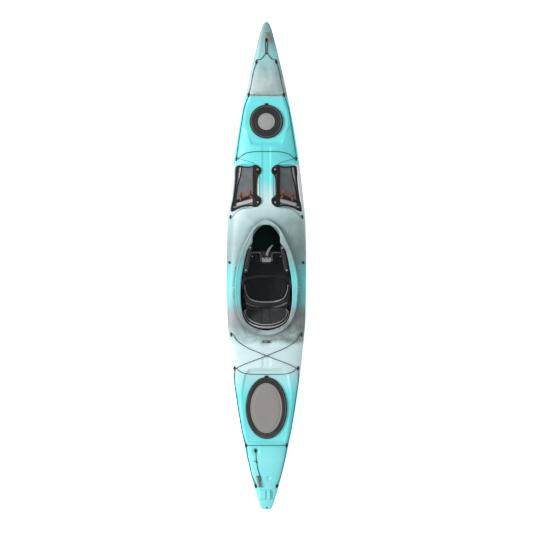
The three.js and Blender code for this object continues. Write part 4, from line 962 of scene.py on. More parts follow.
slope = maths(weave_group, "SUBTRACT", axes["Y"], axes["Z"])
crossed = maths(weave_group, "MULTIPLY", thread_wave(axes["X"]), thread_wave(slope))
join(weave_group, weave_out, Height=ranged(weave_group, crossed, -1.0, 1.0),
     Shade=noise_of(weave_group, where, 60.0, 5.0, Roughness=0.7))


def cloth(name, dark, light, lint, threads=1500.0, depth=0.0003):
    material, tree, shader = finish(name, Roughness=0.9, Specular_IOR_Level=0.25, Sheen_Weight=0.25,
                                    Sheen_Roughness=0.5)
    weave = use(tree, weave_group, Threads=threads)
    thread = blend_of(tree, weave["Height"], dark, light)
    contrast = ranged(tree, weave["Shade"], 0.35, 0.75, 0.0, 0.55)
    join(tree, shader, Base_Color=blend_of(tree, contrast, thread, lint))
    bumped(tree, shader, [(weave["Height"], depth), (weave["Shade"], 0.0008)])
    return material


seat_cloth = cloth("seat_fabric", ink(22, 23, 25), ink(44, 45, 48), ink(58, 59, 62))
spacer_mesh = cloth("seat_spacer_mesh", ink(18, 19, 20), ink(62, 63, 66), ink(44, 45, 47), 900.0, 0.0006)
piping_cord = cloth("seat_piping", ink(190, 192, 192), ink(240, 241, 241), ink(216, 218, 218), 2600.0)
# The seat's level, the foam's top, how far cloth may move, and how the cushions' cloth is blown up.
PAN_TOP, FOAM_TOP, CUSHION_SWELL = 0.0503, 0.0885, 0.006
PRESSURE, CLOTH_STEPS, VOXEL = 4.0, 20, 0.005


def tube_rings(line, radius, sides=10, flat=1.0, up=(0, 0, 1)):
    """Rings round a line of points, closed to a round at each end. A flat share squeezes the section."""
    line = np.array(line, float)
    along = np.gradient(line, axis=0)
    along /= np.linalg.norm(along, axis=1)[:, None]
    side = np.cross(along, np.array(up, float))
    side /= np.maximum(np.linalg.norm(side, axis=1), 1e-6)[:, None]
    lift = np.cross(side, along)
    turn = turns(sides)
    radius = np.broadcast_to(np.asarray(radius, float), (len(line),))
    rings = [c + r * (np.outer(np.cos(turn), s) + flat * np.outer(np.sin(turn), n))
             for c, s, n, r in zip(line, side, lift, radius)]
    first, last = line[0], line[-1]
    tip = [np.tile(first - along[0] * radius[0] * 0.5, (sides, 1)),
           first - along[0] * radius[0] * 0.35 + (rings[0] - first) * 0.7]
    end = [last + along[-1] * radius[-1] * 0.35 + (rings[-1] - last) * 0.7,
           np.tile(last + along[-1] * radius[-1] * 0.5, (sides, 1))]
    return tip + rings + end


def tube(points, radius, sides=10, count=None, flat=1.0, up=(0, 0, 1)):
    """A tube along a smooth line through the points, with its length in its map."""
    points = np.array(points, float)
    run = float(np.linalg.norm(np.diff(points, axis=0), axis=1).sum())
    count = count or max(6, int(run / 0.012))
    line = smooth_loop(points, count, closed=False)
    rings = tube_rings(line, radius if np.isscalar(radius) else np.interp(
        np.linspace(0, 1, count), np.linspace(0, 1, len(radius)), radius), sides, flat, up)
    steps = np.linalg.norm(np.diff(line, axis=0), axis=1)
    lengths = [0, 0, *np.concatenate([[0], np.cumsum(steps)]).tolist()]
    lengths += [lengths[-1], lengths[-1]]
    return skin(rings, lengths=lengths)


def hoop(loop, radius, sides=8):
    """A closed tube along a closed line."""
    loop = np.array(loop, float)
    along = np.roll(loop, -1, axis=0) - np.roll(loop, 1, axis=0)
    along /= np.linalg.norm(along, axis=1)[:, None]
    side = np.cross(along, np.array([0.0, 0, 1]))
    side /= np.linalg.norm(side, axis=1)[:, None]
    lift = np.cross(side, along)
    turn = turns(sides)
    rings = [c + radius * (np.outer(np.cos(turn), s) + np.outer(np.sin(turn), n))
             for c, s, n in zip(loop, side, lift)]
    run = np.cumsum(np.linalg.norm(loop - np.roll(loop, 1, axis=0), axis=1)).tolist()
    return skin(rings + rings[:1], lengths=[*run, run[-1]])


def raised(bm, face, height):
    """Draws a flat face up into a closed block."""
    top = bmesh.ops.extrude_face_region(bm, geom=[face])["geom"]
    bmesh.ops.translate(bm, vec=(0, 0, height), verts=[g for g in top if isinstance(g, bmesh.types.BMVert)])
    bmesh.ops.recalc_face_normals(bm, faces=bm.faces)


def foam_blank(outline, low, high):
    """A slab over an outline, remeshed so that cloth can be blown up from it."""
    bm = bmesh.new()
    raised(bm, bm.faces.new([bm.verts.new((x, y, low)) for x, y in outline]), high - low)
    bmesh.ops.bevel(bm, geom=[e for e in bm.edges if abs(e.verts[0].co.z - e.verts[1].co.z) < 1e-5],
                    offset=0.007, segments=3, profile=0.5, affect="EDGES", material=-1)
    blank = object_from("blank", bm)
    remesh = blank.modifiers.new("remesh", "REMESH")
    remesh.mode = "VOXEL"
    remesh.voxel_size = VOXEL
    return baked(blank)


def baked(piece):
    """Applies what the modifiers make of a piece to its mesh."""
    solid = bpy.data.meshes.new_from_object(piece.evaluated_get(bpy.context.evaluated_depsgraph_get()))
    piece.modifiers.clear()
    old = piece.data
    piece.data = solid
    bpy.data.meshes.remove(old)
    return piece


def move_corners(piece, at):
    piece.data.vertices.foreach_set("co", np.ascontiguousarray(at, float).ravel())
    piece.data.update()


def plumped(name, outline, low, high, cap, seams, floor_at):
    """A cushion: the blank blown up as cloth, kept within a cap, flat below, then drawn in at its seams."""
    piece = foam_blank(outline, low, high)
    piece.name = piece.data.name = name
    before = corners_of(piece)
    skin_cloth = piece.modifiers.new("cloth", "CLOTH")
    skin_cloth.settings.use_pressure = True
    skin_cloth.settings.uniform_pressure_force = PRESSURE
    skin_cloth.settings.effector_weights.gravity = 0
    skin_cloth.point_cache.frame_end = CLOTH_STEPS
    for step in range(1, CLOTH_STEPS + 1):
        scene.frame_set(step)
    baked(piece)
    move = corners_of(piece) - before
    far = np.linalg.norm(move, axis=1)
    move *= np.minimum(1, cap / np.maximum(far, 1e-9))[:, None]
    move_corners(piece, before + move)
    scene.frame_set(1)
    bm = bmesh.new()
    bm.from_mesh(piece.data)
    for _ in range(3):
        bmesh.ops.smooth_vert(bm, verts=bm.verts, factor=0.5, use_axis_x=True, use_axis_y=True, use_axis_z=True)
    bm.to_mesh(piece.data)
    bm.free()
    finer = piece.modifiers.new("finer", "SUBSURF")
    finer.levels = finer.render_levels = 1
    baked(piece)
    at = corners_of(piece)
    normals = np.empty(len(at) * 3)
    piece.data.vertices.foreach_get("normal", normals)
    normals = normals.reshape(-1, 3)
    top = normals[:, 2] > 0.15
    for line, width, depth in seams:
        near = np.minimum.reduce([to_segment(at[:, 0], at[:, 1], start, end) for start, end in zip(line, line[1:])])
        sink = depth * np.exp(-(near / width) ** 2)
        at = at - normals * (sink * top)[:, None]
    # Sitting has left the top a little uneven.
    dents = np.sin(at[:, 0] * 47 + 1.3) * np.sin(at[:, 1] * 39 + 0.4) + 0.6 * np.sin(at[:, 0] * 90 + at[:, 1] * 70)
    at[:, 2] += 0.0007 * dents * top
    at[:, 2] = np.maximum(at[:, 2], floor_at)
    move_corners(piece, at)
    for polygon in piece.data.polygons:
        polygon.use_smooth = True
    return piece


def top_of(piece, line, lift):
    """Lays a flat line on the top of a piece."""
    at = corners_of(piece)
    high = []
    for x, y in line:
        near = np.hypot(at[:, 0] - x, at[:, 1] - y)
        high.append(float(at[near < max(0.007, float(near.min()) + 0.001), 2].max()))
    high = np.array(high)
    for _ in range(2):
        high[1:-1] = (high[:-2] + high[1:-1] + high[2:]) / 3
    return np.column_stack([np.array(line), high + lift])


def both_sides(line):
    """A line on the right and its mirror image."""
    return [line, [(-x, y) for x, y in line]]


# A seam is a line, its width and its depth.
front_half = [(0.0395, 0.032), (0.0402, 0.060), (0.0405, 0.096), (0.046, 0.108), (0.075, 0.1105), (0.118, 0.1085),
              (0.140, 0.100), (0.1495, 0.080), (0.154, 0.040), (0.161, 0.000), (0.170, -0.045), (0.173, -0.078),
              (0.167, -0.095), (0.140, -0.0945), (0.100, -0.085), (0.050, -0.0795), (0.0, -0.078)]
front_outline = smooth_loop(mirrored(front_half), 150)
front_seams = [(line, 0.004, 0.0035) for line in both_sides([(0.040, 0.028), (0.120, 0.020), (0.150, 0.004)])]
front_seams.append(([(-0.0395, 0.030), (0.0395, 0.030)], 0.004, 0.002))
front_cushion = plumped("front_seat_cushion", front_outline, PAN_TOP + 0.004, FOAM_TOP, CUSHION_SWELL,
                        front_seams, PAN_TOP)
rear_half = [(0.0, -0.083), (0.060, -0.085), (0.110, -0.091), (0.148, -0.101), (0.167, -0.115), (0.1735, -0.150),
             (0.168, -0.190), (0.154, -0.232), (0.127, -0.264), (0.088, -0.281), (0.046, -0.2885), (0.0, -0.290)]
rear_outline = smooth_loop(mirrored(rear_half[1:-1]), 150)
rear_seams = [(line, 0.0045, 0.005) for line in both_sides([(0.124, -0.100), (0.121, -0.160), (0.100, -0.262)])]
rear_seams.append(([(-0.100, -0.262), (0.100, -0.262)], 0.0045, 0.004))
rear_cushion = plumped("rear_seat_cushion", rear_outline, PAN_TOP + 0.004, FOAM_TOP, CUSHION_SWELL,
                       rear_seams, PAN_TOP)
for piece, node, body in ((front_cushion, "leg_lift_cushion", "leg_lift"), (rear_cushion, "seat_cushion", "shell")):
    piece.data.materials.append(seat_cloth)
    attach(piece, body)
    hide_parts(node)


PIPING_LIFT = 0.0008


def piping(name, cushion, lines, body, radius=0.0020):
    beads = []
    for line in lines:
        flat = smooth_loop(line, max(12, int(len(line) * 7)), closed=False)
        beads.append(tube(top_of(cushion, flat, PIPING_LIFT), radius, 8))
    piece = joint_piece(name, beads, [piping_cord])
    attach(piece, body)


front_bead = [(0.0445, 0.038), (0.0445, 0.095), (0.051, 0.1035), (0.090, 0.1045), (0.124, 0.1015), (0.137, 0.094)]
piping("front_cushion_piping", front_cushion, both_sides(front_bead), "leg_lift")
rear_arc = [(x * 0.985, -0.083 + (y + 0.083) * 0.985) for x, y in rear_half[5:-1]]
piping("rear_cushion_piping", rear_cushion, [
    rear_arc + [(0.0, -0.2868)] + [(-x, y) for x, y in reversed(rear_arc)],
    [(0.120, -0.262), (0.084, -0.2745), (0.044, -0.2800), (0.0, -0.2812), (-0.044, -0.2800), (-0.084, -0.2745),
     (-0.120, -0.262)],
], "shell", 0.0023)

# ---------------------------------------------------------------------------------------------------
# The leg lift's tab and strap: a grey rubber tab riveted in the cushion's notch, and the tubular grip of
# its strap, which curves forward and thins into the dark of the cockpit.
# ---------------------------------------------------------------------------------------------------
tab_rubber = rubber("tab_rubber", ink(214, 215, 213), ink(236, 237, 235), ink(246, 247, 245))
tab_body = rounded_block((0.073, 0.0355, 0.0118), 0.0040, (0, 0.0483, 0.0783), 4)
for vert in tab_body.verts:
    if vert.co.y < 0.040:
        vert.co.x *= 1 - 0.10 * (0.040 - vert.co.y) / 0.010
tab_ridges = [rounded_block((0.050, 0.0022, 0.0016), 0.0007, (0, y, 0.0842), 2) for y in (0.040, 0.0455, 0.051)]
tab_holes = [rounded_block((0.012, 0.0050, 0.0030), 0.0012, (x, 0.0600, 0.0838), 2) for x in (-0.012, 0.012)]
tab = joint_piece("leg_lift_pull_tab", [tab_body, *tab_ridges, *tab_holes], [tab_rubber] * 4 + [black_plastic])
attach(tab, "leg_lift")
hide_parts("leg_lift_tab")

grip_webbing = cloth("grip_webbing", ink(206, 208, 208), ink(250, 250, 250), ink(236, 238, 238), 2200.0, 0.0004)
webbing = cloth("grey_webbing", ink(142, 145, 146), ink(196, 198, 198), ink(168, 170, 170), 2200.0, 0.0004)
dark_webbing = cloth("dark_webbing", ink(8, 9, 10), ink(24, 25, 27), ink(34, 35, 37), 2200.0, 0.0004)
grip_line = [(0, 0.0669, 0.0783), (0, 0.0786, 0.0783), (0.008, 0.1066, 0.0863), (0.026, 0.1406, 0.0933),
             (0.048, 0.1646, 0.0903), (0.070, 0.1786, 0.0813)]
grip = tube(grip_line[:5], [0.0076, 0.0100, 0.0098, 0.0086, 0.0060], 14, flat=0.6)
tail = tube(grip_line[3:], [0.0042, 0.0060, 0.0048], 10, flat=0.5)
sleeve = rounded_block((0.016, 0.016, 0.0120), 0.003, (0, 0.0755, 0.0783), 3)
strap_grip = joint_piece("leg_lift_grip", [grip, tail, sleeve], [grip_webbing, dark_webbing, black_plastic])
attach(strap_grip, "leg_lift")
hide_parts("leg_lift_strap")

# ---------------------------------------------------------------------------------------------------
# The backrest: a padded half oval on a grey plate that pivots on a curved bar behind the seat. Its cover
# has a mesh middle between two seams and pale double piping round its top edge.
# ---------------------------------------------------------------------------------------------------
BACK_LEAN, PIVOT = math.radians(38), Vector((0, -0.316, 0.096))
back_up = Vector((0, -math.sin(BACK_LEAN), math.cos(BACK_LEAN)))
back_front = Vector((0, math.cos(BACK_LEAN), math.sin(BACK_LEAN)))
back_place = Matrix((Vector((-1, 0, 0)), back_up, back_front)).transposed().to_4x4()
back_place.translation = PIVOT
pad_half = [(0.0, 0.0275), (0.080, 0.0275), (0.140, 0.030), (0.163, 0.045), (0.171, 0.075), (0.168, 0.110),
            (0.157, 0.150), (0.136, 0.190), (0.103, 0.224), (0.060, 0.246), (0.020, 0.2535), (0.0, 0.254)]
# Both follow one half outline: the plate, and the pad, which starts higher and covers the plate's top edge.
plate_half = [(x * 0.985, 0.0275 + (y - 0.0275) * 1.088) for x, y in pad_half]
pad_half = [(x * 1.03, 0.0520 + (y - 0.0275) * 1.015) for x, y in pad_half]
pad_outline = smooth_loop(mirrored(pad_half[1:-1]), 150)
pad_seams = [(line, 0.004, 0.0045) for line in both_sides([(0.026, 0.056), (0.030, 0.160), (0.042, 0.274)])]
back_pad = plumped("backrest_cushion", pad_outline, 0.0043, 0.0255, 0.005, pad_seams, 0.0004)
back_pad.data.materials.append(seat_cloth)
back_pad.data.materials.append(spacer_mesh)
# The mesh lies between the seams, on the front only.
for polygon in back_pad.data.polygons:
    middle_at = polygon.center
    if abs(middle_at.x) < 0.027 + 0.012 * max(middle_at.y, 0) / 0.25 and middle_at.z > 0.012:
        polygon.material_index = 1
pad_beads = []
# The outer bead is sewn into the seam round the pad's edge, the inner one lies on its face.
edge_line = pad_half[3:-1]
for draw, radius in ((1.0, 0.0027), (0.93, 0.0018)):
    arc = [(x * draw, 0.052 + (y - 0.052) * draw) for x, y in edge_line]
    arc = smooth_loop(mirrored(arc), 110, closed=False)
    line = np.column_stack([arc, np.full(len(arc), 0.0165)]) if draw == 1.0 else top_of(back_pad, arc, 0.0006)
    pad_beads.append(tube(line, radius, 8))
back_piping = joint_piece("backrest_piping", pad_beads, [piping_cord])

plate_bm = bmesh.new()
plate_loop = smooth_loop(mirrored(plate_half[1:-1]), 120)
raised(plate_bm, plate_bm.faces.new([plate_bm.verts.new((x, y, -0.0050)) for x, y in plate_loop]), 0.0047)
bar_arc = [(-0.181, 0.006, 0.004), (-0.165, 0.0115, 0.006), (-0.110, 0.001, 0.001), (-0.055, -0.005, -0.004),
           (0, -0.007, -0.006), (0.055, -0.005, -0.004), (0.110, 0.001, 0.001), (0.165, 0.0115, 0.006),
           (0.181, 0.006, 0.004)]
bar = tube([PIVOT + Vector((x, 2.0 * y, z + 0.001)) for x, y, z in bar_arc], 0.0078, 12, 60, flat=0.8)
bmesh.ops.transform(bar, matrix=back_place.inverted(), verts=bar.verts)
slot_pad = rounded_block((0.130, 0.010, 0.006), 0.0025, Matrix.Translation(PIVOT + Vector((0, -0.012, 0.004))))
bmesh.ops.transform(slot_pad, matrix=back_place.inverted(), verts=slot_pad.verts)
back_frame = joint_piece("backrest_plate", [plate_bm, bar, slot_pad], [grey_plastic, grey_plastic, black_plastic])
for piece in (back_pad, back_piping, back_frame):
    piece.data.transform(back_place)
    piece.data.update()
    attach(piece, "backrest")
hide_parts("backrest_pad")
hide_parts("backrest_frame")

# Straps from the side plates to the backrest's pivots, with their buckles.
strap_meshes = []
for side in (-1, 1):
    run = [(side * 0.1880, -0.130, 0.168), (side * 0.1865, -0.190, 0.150), (side * 0.1790, -0.245, 0.128),
           (side * 0.1700, -0.290, 0.112), (side * 0.1640, -0.330, 0.106)]
    strap_meshes.append(tube(run, 0.0085, 8, 26, flat=0.16))
buckles = []
for side in (-1, 1):
    tilt = Matrix.Rotation(side * 0.16, 4, "Z") @ Matrix.Rotation(0.33, 4, "X")
    buckles.append(rounded_block((0.020, 0.028, 0.007), 0.002,
                                 Matrix.Translation((side * 0.1800, -0.238, 0.134)) @ tilt))
side_straps = joint_piece("backrest_side_straps", [*strap_meshes, *buckles], [dark_webbing] * 2 + [black_plastic])
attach(side_straps, "shell")

# ---------------------------------------------------------------------------------------------------
# The thigh braces: padded black bars screwed under the moulded supports at their front ends, so that each
# swings in a little. Each has a rounded rubber face, a hooked grip and a bright screw at each end.
# ---------------------------------------------------------------------------------------------------


def brushed_metal(name, stretch, scale, dark, light, shine, depth):
    """Bare metal with fine brush marks that a stretch draws out."""
    material, tree, shader = finish(name, Metallic=1.0)
    drawn = put(tree, "ShaderNodeMapping", {"Vector": object_place(tree), "Scale": stretch})
    marks = noise_of(tree, drawn.outputs[0], scale, 3.0)
    join(tree, shader, Base_Color=blend_of(tree, marks, dark, light),
         Roughness=ranged(tree, marks, 0.3, 0.7, *shine))
    bumped(tree, shader, [(marks, depth)])
    return material


steel = brushed_metal("screw_steel", (1, 1, 1), 1800.0, ink(196, 198, 200), ink(236, 238, 240),
                      (0.25, 0.45), 0.00004)


def screw_head(radius, at):
    """A pan head with a round socket, its middle at the origin of the place."""
    profile = [(0.0, -0.0006), (0.28, -0.0006), (0.34, 0.22), (0.55, 0.30), (0.85, 0.20), (1.0, 0.0), (0.98, -0.12)]
    turn = turns(16)
    rings = [np.column_stack([share * radius * np.cos(turn), share * radius * np.sin(turn),
                              np.full(16, height * radius)]) for share, height in profile]
    rings.append(np.tile([0, 0, -0.12 * radius], (16, 1)))
    bm = skin(rings)
    bmesh.ops.transform(bm, matrix=at, verts=bm.verts)
    return bm


brace_rubber = rubber("brace_rubber", ink(20, 21, 23), ink(36, 37, 39), ink(62, 64, 66))
for name, side in (("left", -1), ("right", 1)):
    front, rear = Vector((side * 0.1249, 0.1476, 0)), Vector((side * 0.1599, -0.0378, 0))
    ahead = (front - rear).normalized()
    across = Vector((ahead.y, -ahead.x, 0))
    spine = []
    for share in np.linspace(-0.06, 1.06, 26):
        at = rear.lerp(front, share)
        at.z = float(rim_height(at.y)) - 0.0185
        spine.append(at)
    widths = [0.013, 0.0180, 0.0188, 0.0190, 0.0182, 0.0172, 0.0164, 0.0168, 0.0182, 0.0180, 0.013]
    body = tube(spine, widths, 18, 40, flat=0.33)
    hook_at = rear.lerp(front, 0.62)
    hook_at.z = float(rim_height(hook_at.y))
    inward = across * (-side if across.x > 0 else side)
    hook = tube([(hook_at.x, hook_at.y, hook_at.z - 0.0175),
                 (hook_at.x + inward.x * 0.020, hook_at.y + 0.004, hook_at.z - 0.0180),
                 (hook_at.x + inward.x * 0.032, hook_at.y - 0.004, hook_at.z - 0.0205)],
                [0.0065, 0.0060, 0.0042], 10, 12, flat=0.7)
    tip = rounded_block((0.008, 0.010, 0.004), 0.0015,
                        (hook_at.x + inward.x * 0.030, hook_at.y - 0.003, hook_at.z - 0.0165))
    lean = Matrix.Rotation(math.atan(RIM_SLOPE), 4, "X")
    screws = [screw_head(0.0058, Matrix.Translation((p.x, p.y, float(rim_height(p.y)) - 0.0135)) @ lean)
              for p in (rear.lerp(front, 0.03), rear.lerp(front, 0.97))]
    brace = joint_piece(f"thigh_brace_bar_{name}", [body, hook, *screws, tip],
                        [brace_rubber, brace_rubber, steel, steel, grey_plastic])
    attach(brace, f"brace_{name}")
    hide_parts(f"thigh_brace_{name}")

# ---------------------------------------------------------------------------------------------------
# The foot braces: a drawn aluminium rail along each side of the hull and a ribbed black pedal that slides
# on it. Both keep their own shape.
# ---------------------------------------------------------------------------------------------------
aluminium = brushed_metal("rail_metal", (900.0, 6.0, 900.0), 1.0, ink(150, 153, 157), ink(206, 208, 211),
                          (0.28, 0.5), 0.0001)
for name in ("left", "right"):
    coat(f"foot_rail_{name}", aluminium)
    soften(f"foot_rail_{name}", 0.0012)
    coat(f"foot_pedal_{name}", black_plastic)
    soften(f"foot_pedal_{name}", 0.003, 3)

# ---------------------------------------------------------------------------------------------------
# The padeyes: black nylon loops, each screwed down through a long base, that hold the deck lines. There
# are nine pairs along the sides and one at each end for the carry toggle.
# ---------------------------------------------------------------------------------------------------


def on_deck(x, y, heading=0.0):
    """The place on the deck with Z along its normal and Y along a heading, in degrees from the bow."""
    reach = 0.006
    z = deck_top(np.array([x + reach, x - reach, x, x, x]), np.array([y, y, y + reach, y - reach, y]))
    up = Vector((2 * reach, 0, z[0] - z[1])).cross(Vector((0, 2 * reach, z[2] - z[3]))).normalized()
    turn = math.radians(heading)
    right = Vector((-math.sin(turn), math.cos(turn), 0)).cross(up).normalized()
    place = Matrix((right, up.cross(right), up)).transposed().to_4x4()
    place.translation = (x, y, z[4])
    return place


# Each pair of padeyes: its name, shares of the half beam and half length, and heading in degrees.
EYES = [("bow_line_eye", 0.735, 0.836, 12), ("bow_cross_eye", 0.845, 0.702, 12),
        ("deck_bungee_eye", 0.925, 0.44, 8), ("pocket_eye", 0.925, 0.201, 3), ("side_eye", 0.925, 0.014, 0),
        ("rear_bungee_eye", 0.925, -0.281, -4), ("rear_line_eye", 0.92, -0.42, -7),
        ("stern_cross_eye", 0.92, -0.736, -11), ("stern_line_eye", 0.86, -0.902, -14)]
END_EYES = {"bow_toggle_eye": (0.0, 1.76308, 0), "stern_toggle_eye": (-0.08531, -1.44304, 8)}
eye_places = dict(END_EYES)
for name, beam_share, length_share, heading in EYES:
    y = length_share * HALF_LENGTH
    for side_name, side in (("left", -1), ("right", 1)):
        eye_places[f"{name}_{side_name}"] = (side * beam_share * float(beam_at(y)), y, side * heading)


def padeye(place, length):
    """Base, loop and two screws. The cord passes along the base, under the loop."""
    def at(x, y, z):
        return place @ Matrix.Translation((x, y, z))
    base = rounded_block((0.0150, length, 0.0034), 0.0014, at(0, 0, 0.0007))
    saddle = rounded_block((0.0270, 0.0120, 0.0036), 0.0015, at(0, 0, 0.0010))
    arch = [(0.0081 * math.cos(t), 0, 0.0028 + 0.0081 * math.sin(t)) for t in np.linspace(0, math.pi, 9)]
    loop = tube([place @ Vector(p) for p in arch], 0.0016, 8, 15, flat=2.4, up=place.col[1][:3])
    screws = [screw_head(0.0026, at(x, 0, 0.0031)) for x in (-0.0112, 0.0112)]
    return [base, saddle, loop], screws


for name, (x, y, heading) in eye_places.items():
    nylon, screws = padeye(on_deck(x, y, heading), 0.022 if name.startswith("side_eye") else 0.034)
    piece = joint_piece(f"{name}_fitting", [*nylon, *screws], [black_plastic] * 3 + [steel])
    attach(piece, "shell")
    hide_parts(name)

# The lock bar behind the cockpit: a grey bridge on a plate in its scoop, held by two rivets.
bar_place = on_deck(0, -0.592)


def at_bar(x, y, z):
    return bar_place @ Matrix.Translation((x, y, z))


bar_plate = rounded_block((0.078, 0.020, 0.0036), 0.0016, at_bar(0, 0, 0.0012), 3)
bar_arch = [(0.0130 * math.cos(t), 0, 0.0026 + 0.0130 * math.sin(t)) for t in np.linspace(0, math.pi, 11)]
bar_loop = tube([bar_place @ Vector(p) for p in bar_arch], 0.0021, 10, 21, flat=4.4, up=(0, 1, 0))
bar_keepers = [rounded_block((0.010, 0.012, 0.0030), 0.0013, at_bar(x, 0, 0.0038)) for x in (-0.022, 0.022)]
rivets = [screw_head(0.0048, at_bar(x, 0, 0.0031)) for x in (-0.034, 0.034)]
lock_bar = joint_piece("lock_bar_bridge", [bar_plate, bar_loop, *bar_keepers, *rivets],
                       [grey_plastic, grey_plastic, black_plastic, black_plastic, steel])
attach(lock_bar, "shell")
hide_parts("lock_bar")

# ---------------------------------------------------------------------------------------------------
# The deck lines and bungees: black braided cord, run through the padeyes along both sides and across the
# deck, and stretchy cord hooked beside the padeyes in an arch in front and a cross behind.
# ---------------------------------------------------------------------------------------------------


def braided(name, dark, light, fleck, strands=8.0, pitch=240.0):
    material, tree, shader = finish(name, Roughness=0.78, Specular_IOR_Level=0.3)
    chart = put(tree, "ShaderNodeUVMap", uv_map="along")
    parts = axes_of(tree, chart.outputs[0])
    turn = maths(tree, "MULTIPLY", parts["X"], strands * 2 * math.pi)
    waves = [maths(tree, "SINE", maths(tree, "MULTIPLY_ADD", parts["Y"], sign * pitch * 2 * math.pi, turn))
             for sign in (1.0, -1.0)]
    height = ranged(tree, maths(tree, "MULTIPLY", *waves), -1.0, 1.0)
    spots = ranged(tree, noise_of(tree, object_place(tree), 260.0, 2.0), 0.62, 0.72, 0.0, 0.8)
    join(tree, shader, Base_Color=blend_of(tree, spots, blend_of(tree, height, dark, light), fleck))
    bumped(tree, shader, [(height, 0.0003)])
    return material


line_cord = braided("line_cord", ink(26, 27, 28), ink(58, 60, 62), ink(104, 108, 108))
bungee_cord = braided("bungee_cord", ink(30, 31, 32), ink(68, 71, 73), ink(120, 124, 125), 10.0, 320.0)
# The cord's radius, its height over the deck where it lies, where it spans and in an eye, and how far from
# an eye's middle it is tied to its base.
CORD, LIFT, SPAN_LIFT, EYE_LIFT, BESIDE = 0.0025, 0.0035, 0.005, 0.0061, 0.0161


def above(x, y, lift):
    """A point at a height over the plain crown of the deck."""
    return on_deck(x, y) @ Vector((0, 0, lift))


def in_eye(name, ahead):
    x, y, heading = eye_places[name]
    return on_deck(x, y, heading) @ Vector((0, ahead, EYE_LIFT))


def beside_eye(name):
    x, y, heading = eye_places[name]
    return on_deck(x, y, heading) @ Vector((-math.copysign(BESIDE, x), 0, LIFT))


def between(start, end, count, share, side):
    """Points between two places along the boat, at a share of the beam."""
    places = [start + (end - start) * (i + 1) / (count + 1) for i in range(count)]
    return [above(side * float(beam_at(y)) * share, y, LIFT) for y in places]


def eye_y(name):
    return eye_places[f"{name}_left"][1]


def eye_run(name, side, *steps):
    """Points through an eye, each some way ahead of its middle."""
    end = "left" if side < 0 else "right"
    return [in_eye(f"{name}_{end}", step) for step in steps]


# Where the front line forks, the bow padeye, and how far a line runs straight beside an eye.
APEX, BOW_EYE, TAIL = 1.65408, END_EYES["bow_toggle_eye"][1], 0.014
front_runs = []
for side in (-1, 1):
    half = float(beam_at(APEX))
    start = [above(side * x, y, LIFT + 0.001) for x, y in ((0.0070, BOW_EYE - 0.012), (0.0066, BOW_EYE - 0.050),
                                                            (0.0058, APEX + 0.022), (0.0090, APEX + 0.002))]
    fork = [above(side * share * half, APEX - back, LIFT + 0.001)
            for share, back in ((0.2, 0.013), (0.32, 0.026), (0.44, 0.039))]
    front_runs.append([*start, *fork, *eye_run("bow_line_eye", side, TAIL, 0),
                       *between(eye_y("bow_line_eye"), eye_y("bow_cross_eye"), 2, 0.82, side),
                       *eye_run("bow_cross_eye", side, TAIL, 0, -TAIL),
                       *between(eye_y("bow_cross_eye"), eye_y("deck_bungee_eye"), 4, 0.93, side),
                       *eye_run("deck_bungee_eye", side, TAIL, 0, -TAIL)])


def tied_across(name, sag):
    """A run from eye to eye across the deck, drawn back in its middle."""
    half, y = abs(beside_eye(f"{name}_right").x), eye_y(name)
    shares = np.linspace(-0.94, 0.94, 11)
    return [beside_eye(f"{name}_left"), *[above(half * t, y - sag * (1 - t ** 6), SPAN_LIFT) for t in shares],
            beside_eye(f"{name}_right")]


front_runs.append(tied_across("bow_cross_eye", 0.004))
apex_knot = rounded_block((0.018, 0.012, 0.008), 0.0035,
                          on_deck(0, APEX + 0.004) @ Matrix.Translation((0, 0, 0.0045)))
front_line = joint_piece("front_line", [*[tube(run, CORD, 8) for run in front_runs], apex_knot],
                         [line_cord] * 3 + [black_plastic])

rear_runs = []
for side in (-1, 1):
    rear_runs.append([*eye_run("rear_line_eye", side, TAIL, 0, -TAIL),
                      *between(eye_y("rear_line_eye"), eye_y("stern_cross_eye"), 5, 0.968, side),
                      *eye_run("stern_cross_eye", side, TAIL, 0, -TAIL),
                      *between(eye_y("stern_cross_eye"), eye_y("stern_line_eye"), 3, 0.945, side),
                      *eye_run("stern_line_eye", side, TAIL, 0, -TAIL)])
rear_runs += [tied_across("rear_line_eye", 0.046), tied_across("stern_cross_eye", 0.0)]
rear_line = joint_piece("rear_line", [tube(run, CORD, 8) for run in rear_runs], [line_cord])

arch_half, arch_y = abs(beside_eye("deck_bungee_eye_right").x), eye_y("deck_bungee_eye")
arch_run = [beside_eye("deck_bungee_eye_left")]
for i in range(9):
    x = arch_half * (2 * (i + 1) / 10 - 1)
    arch_run.append(above(x, arch_y + 0.055 * (1 - (x / arch_half) ** 4), SPAN_LIFT))
arch_run.append(beside_eye("deck_bungee_eye_right"))
front_stretch = joint_piece("front_stretch_cord", [tube(arch_run, CORD, 8)], [bungee_cord])

crossing = eye_y("rear_bungee_eye") + 0.63 * (eye_y("rear_line_eye") - eye_y("rear_bungee_eye"))


def rear_stretch_run(side, lift):
    near, far = ("left", "right") if side > 0 else ("right", "left")
    half = float(beam_at(crossing))
    points = [beside_eye(f"rear_bungee_eye_{near}")]
    for share, along, raised in ((0.82, 0.28, 0), (0.55, 0.6, 0), (0.2, 0.86, 1), (0.0, 1.0, 1)):
        y = eye_y("rear_bungee_eye") + along * (crossing - eye_y("rear_bungee_eye"))
        points.append(above(-side * half * share, y, SPAN_LIFT + raised * lift))
    for share, along, raised in ((0.2, 0.22, 1), (0.62, 0.68, 0)):
        y = crossing + along * (eye_y("rear_line_eye") - crossing)
        points.append(above(side * half * share, y, SPAN_LIFT + raised * lift))
    return points + [beside_eye(f"rear_line_eye_{far}")]


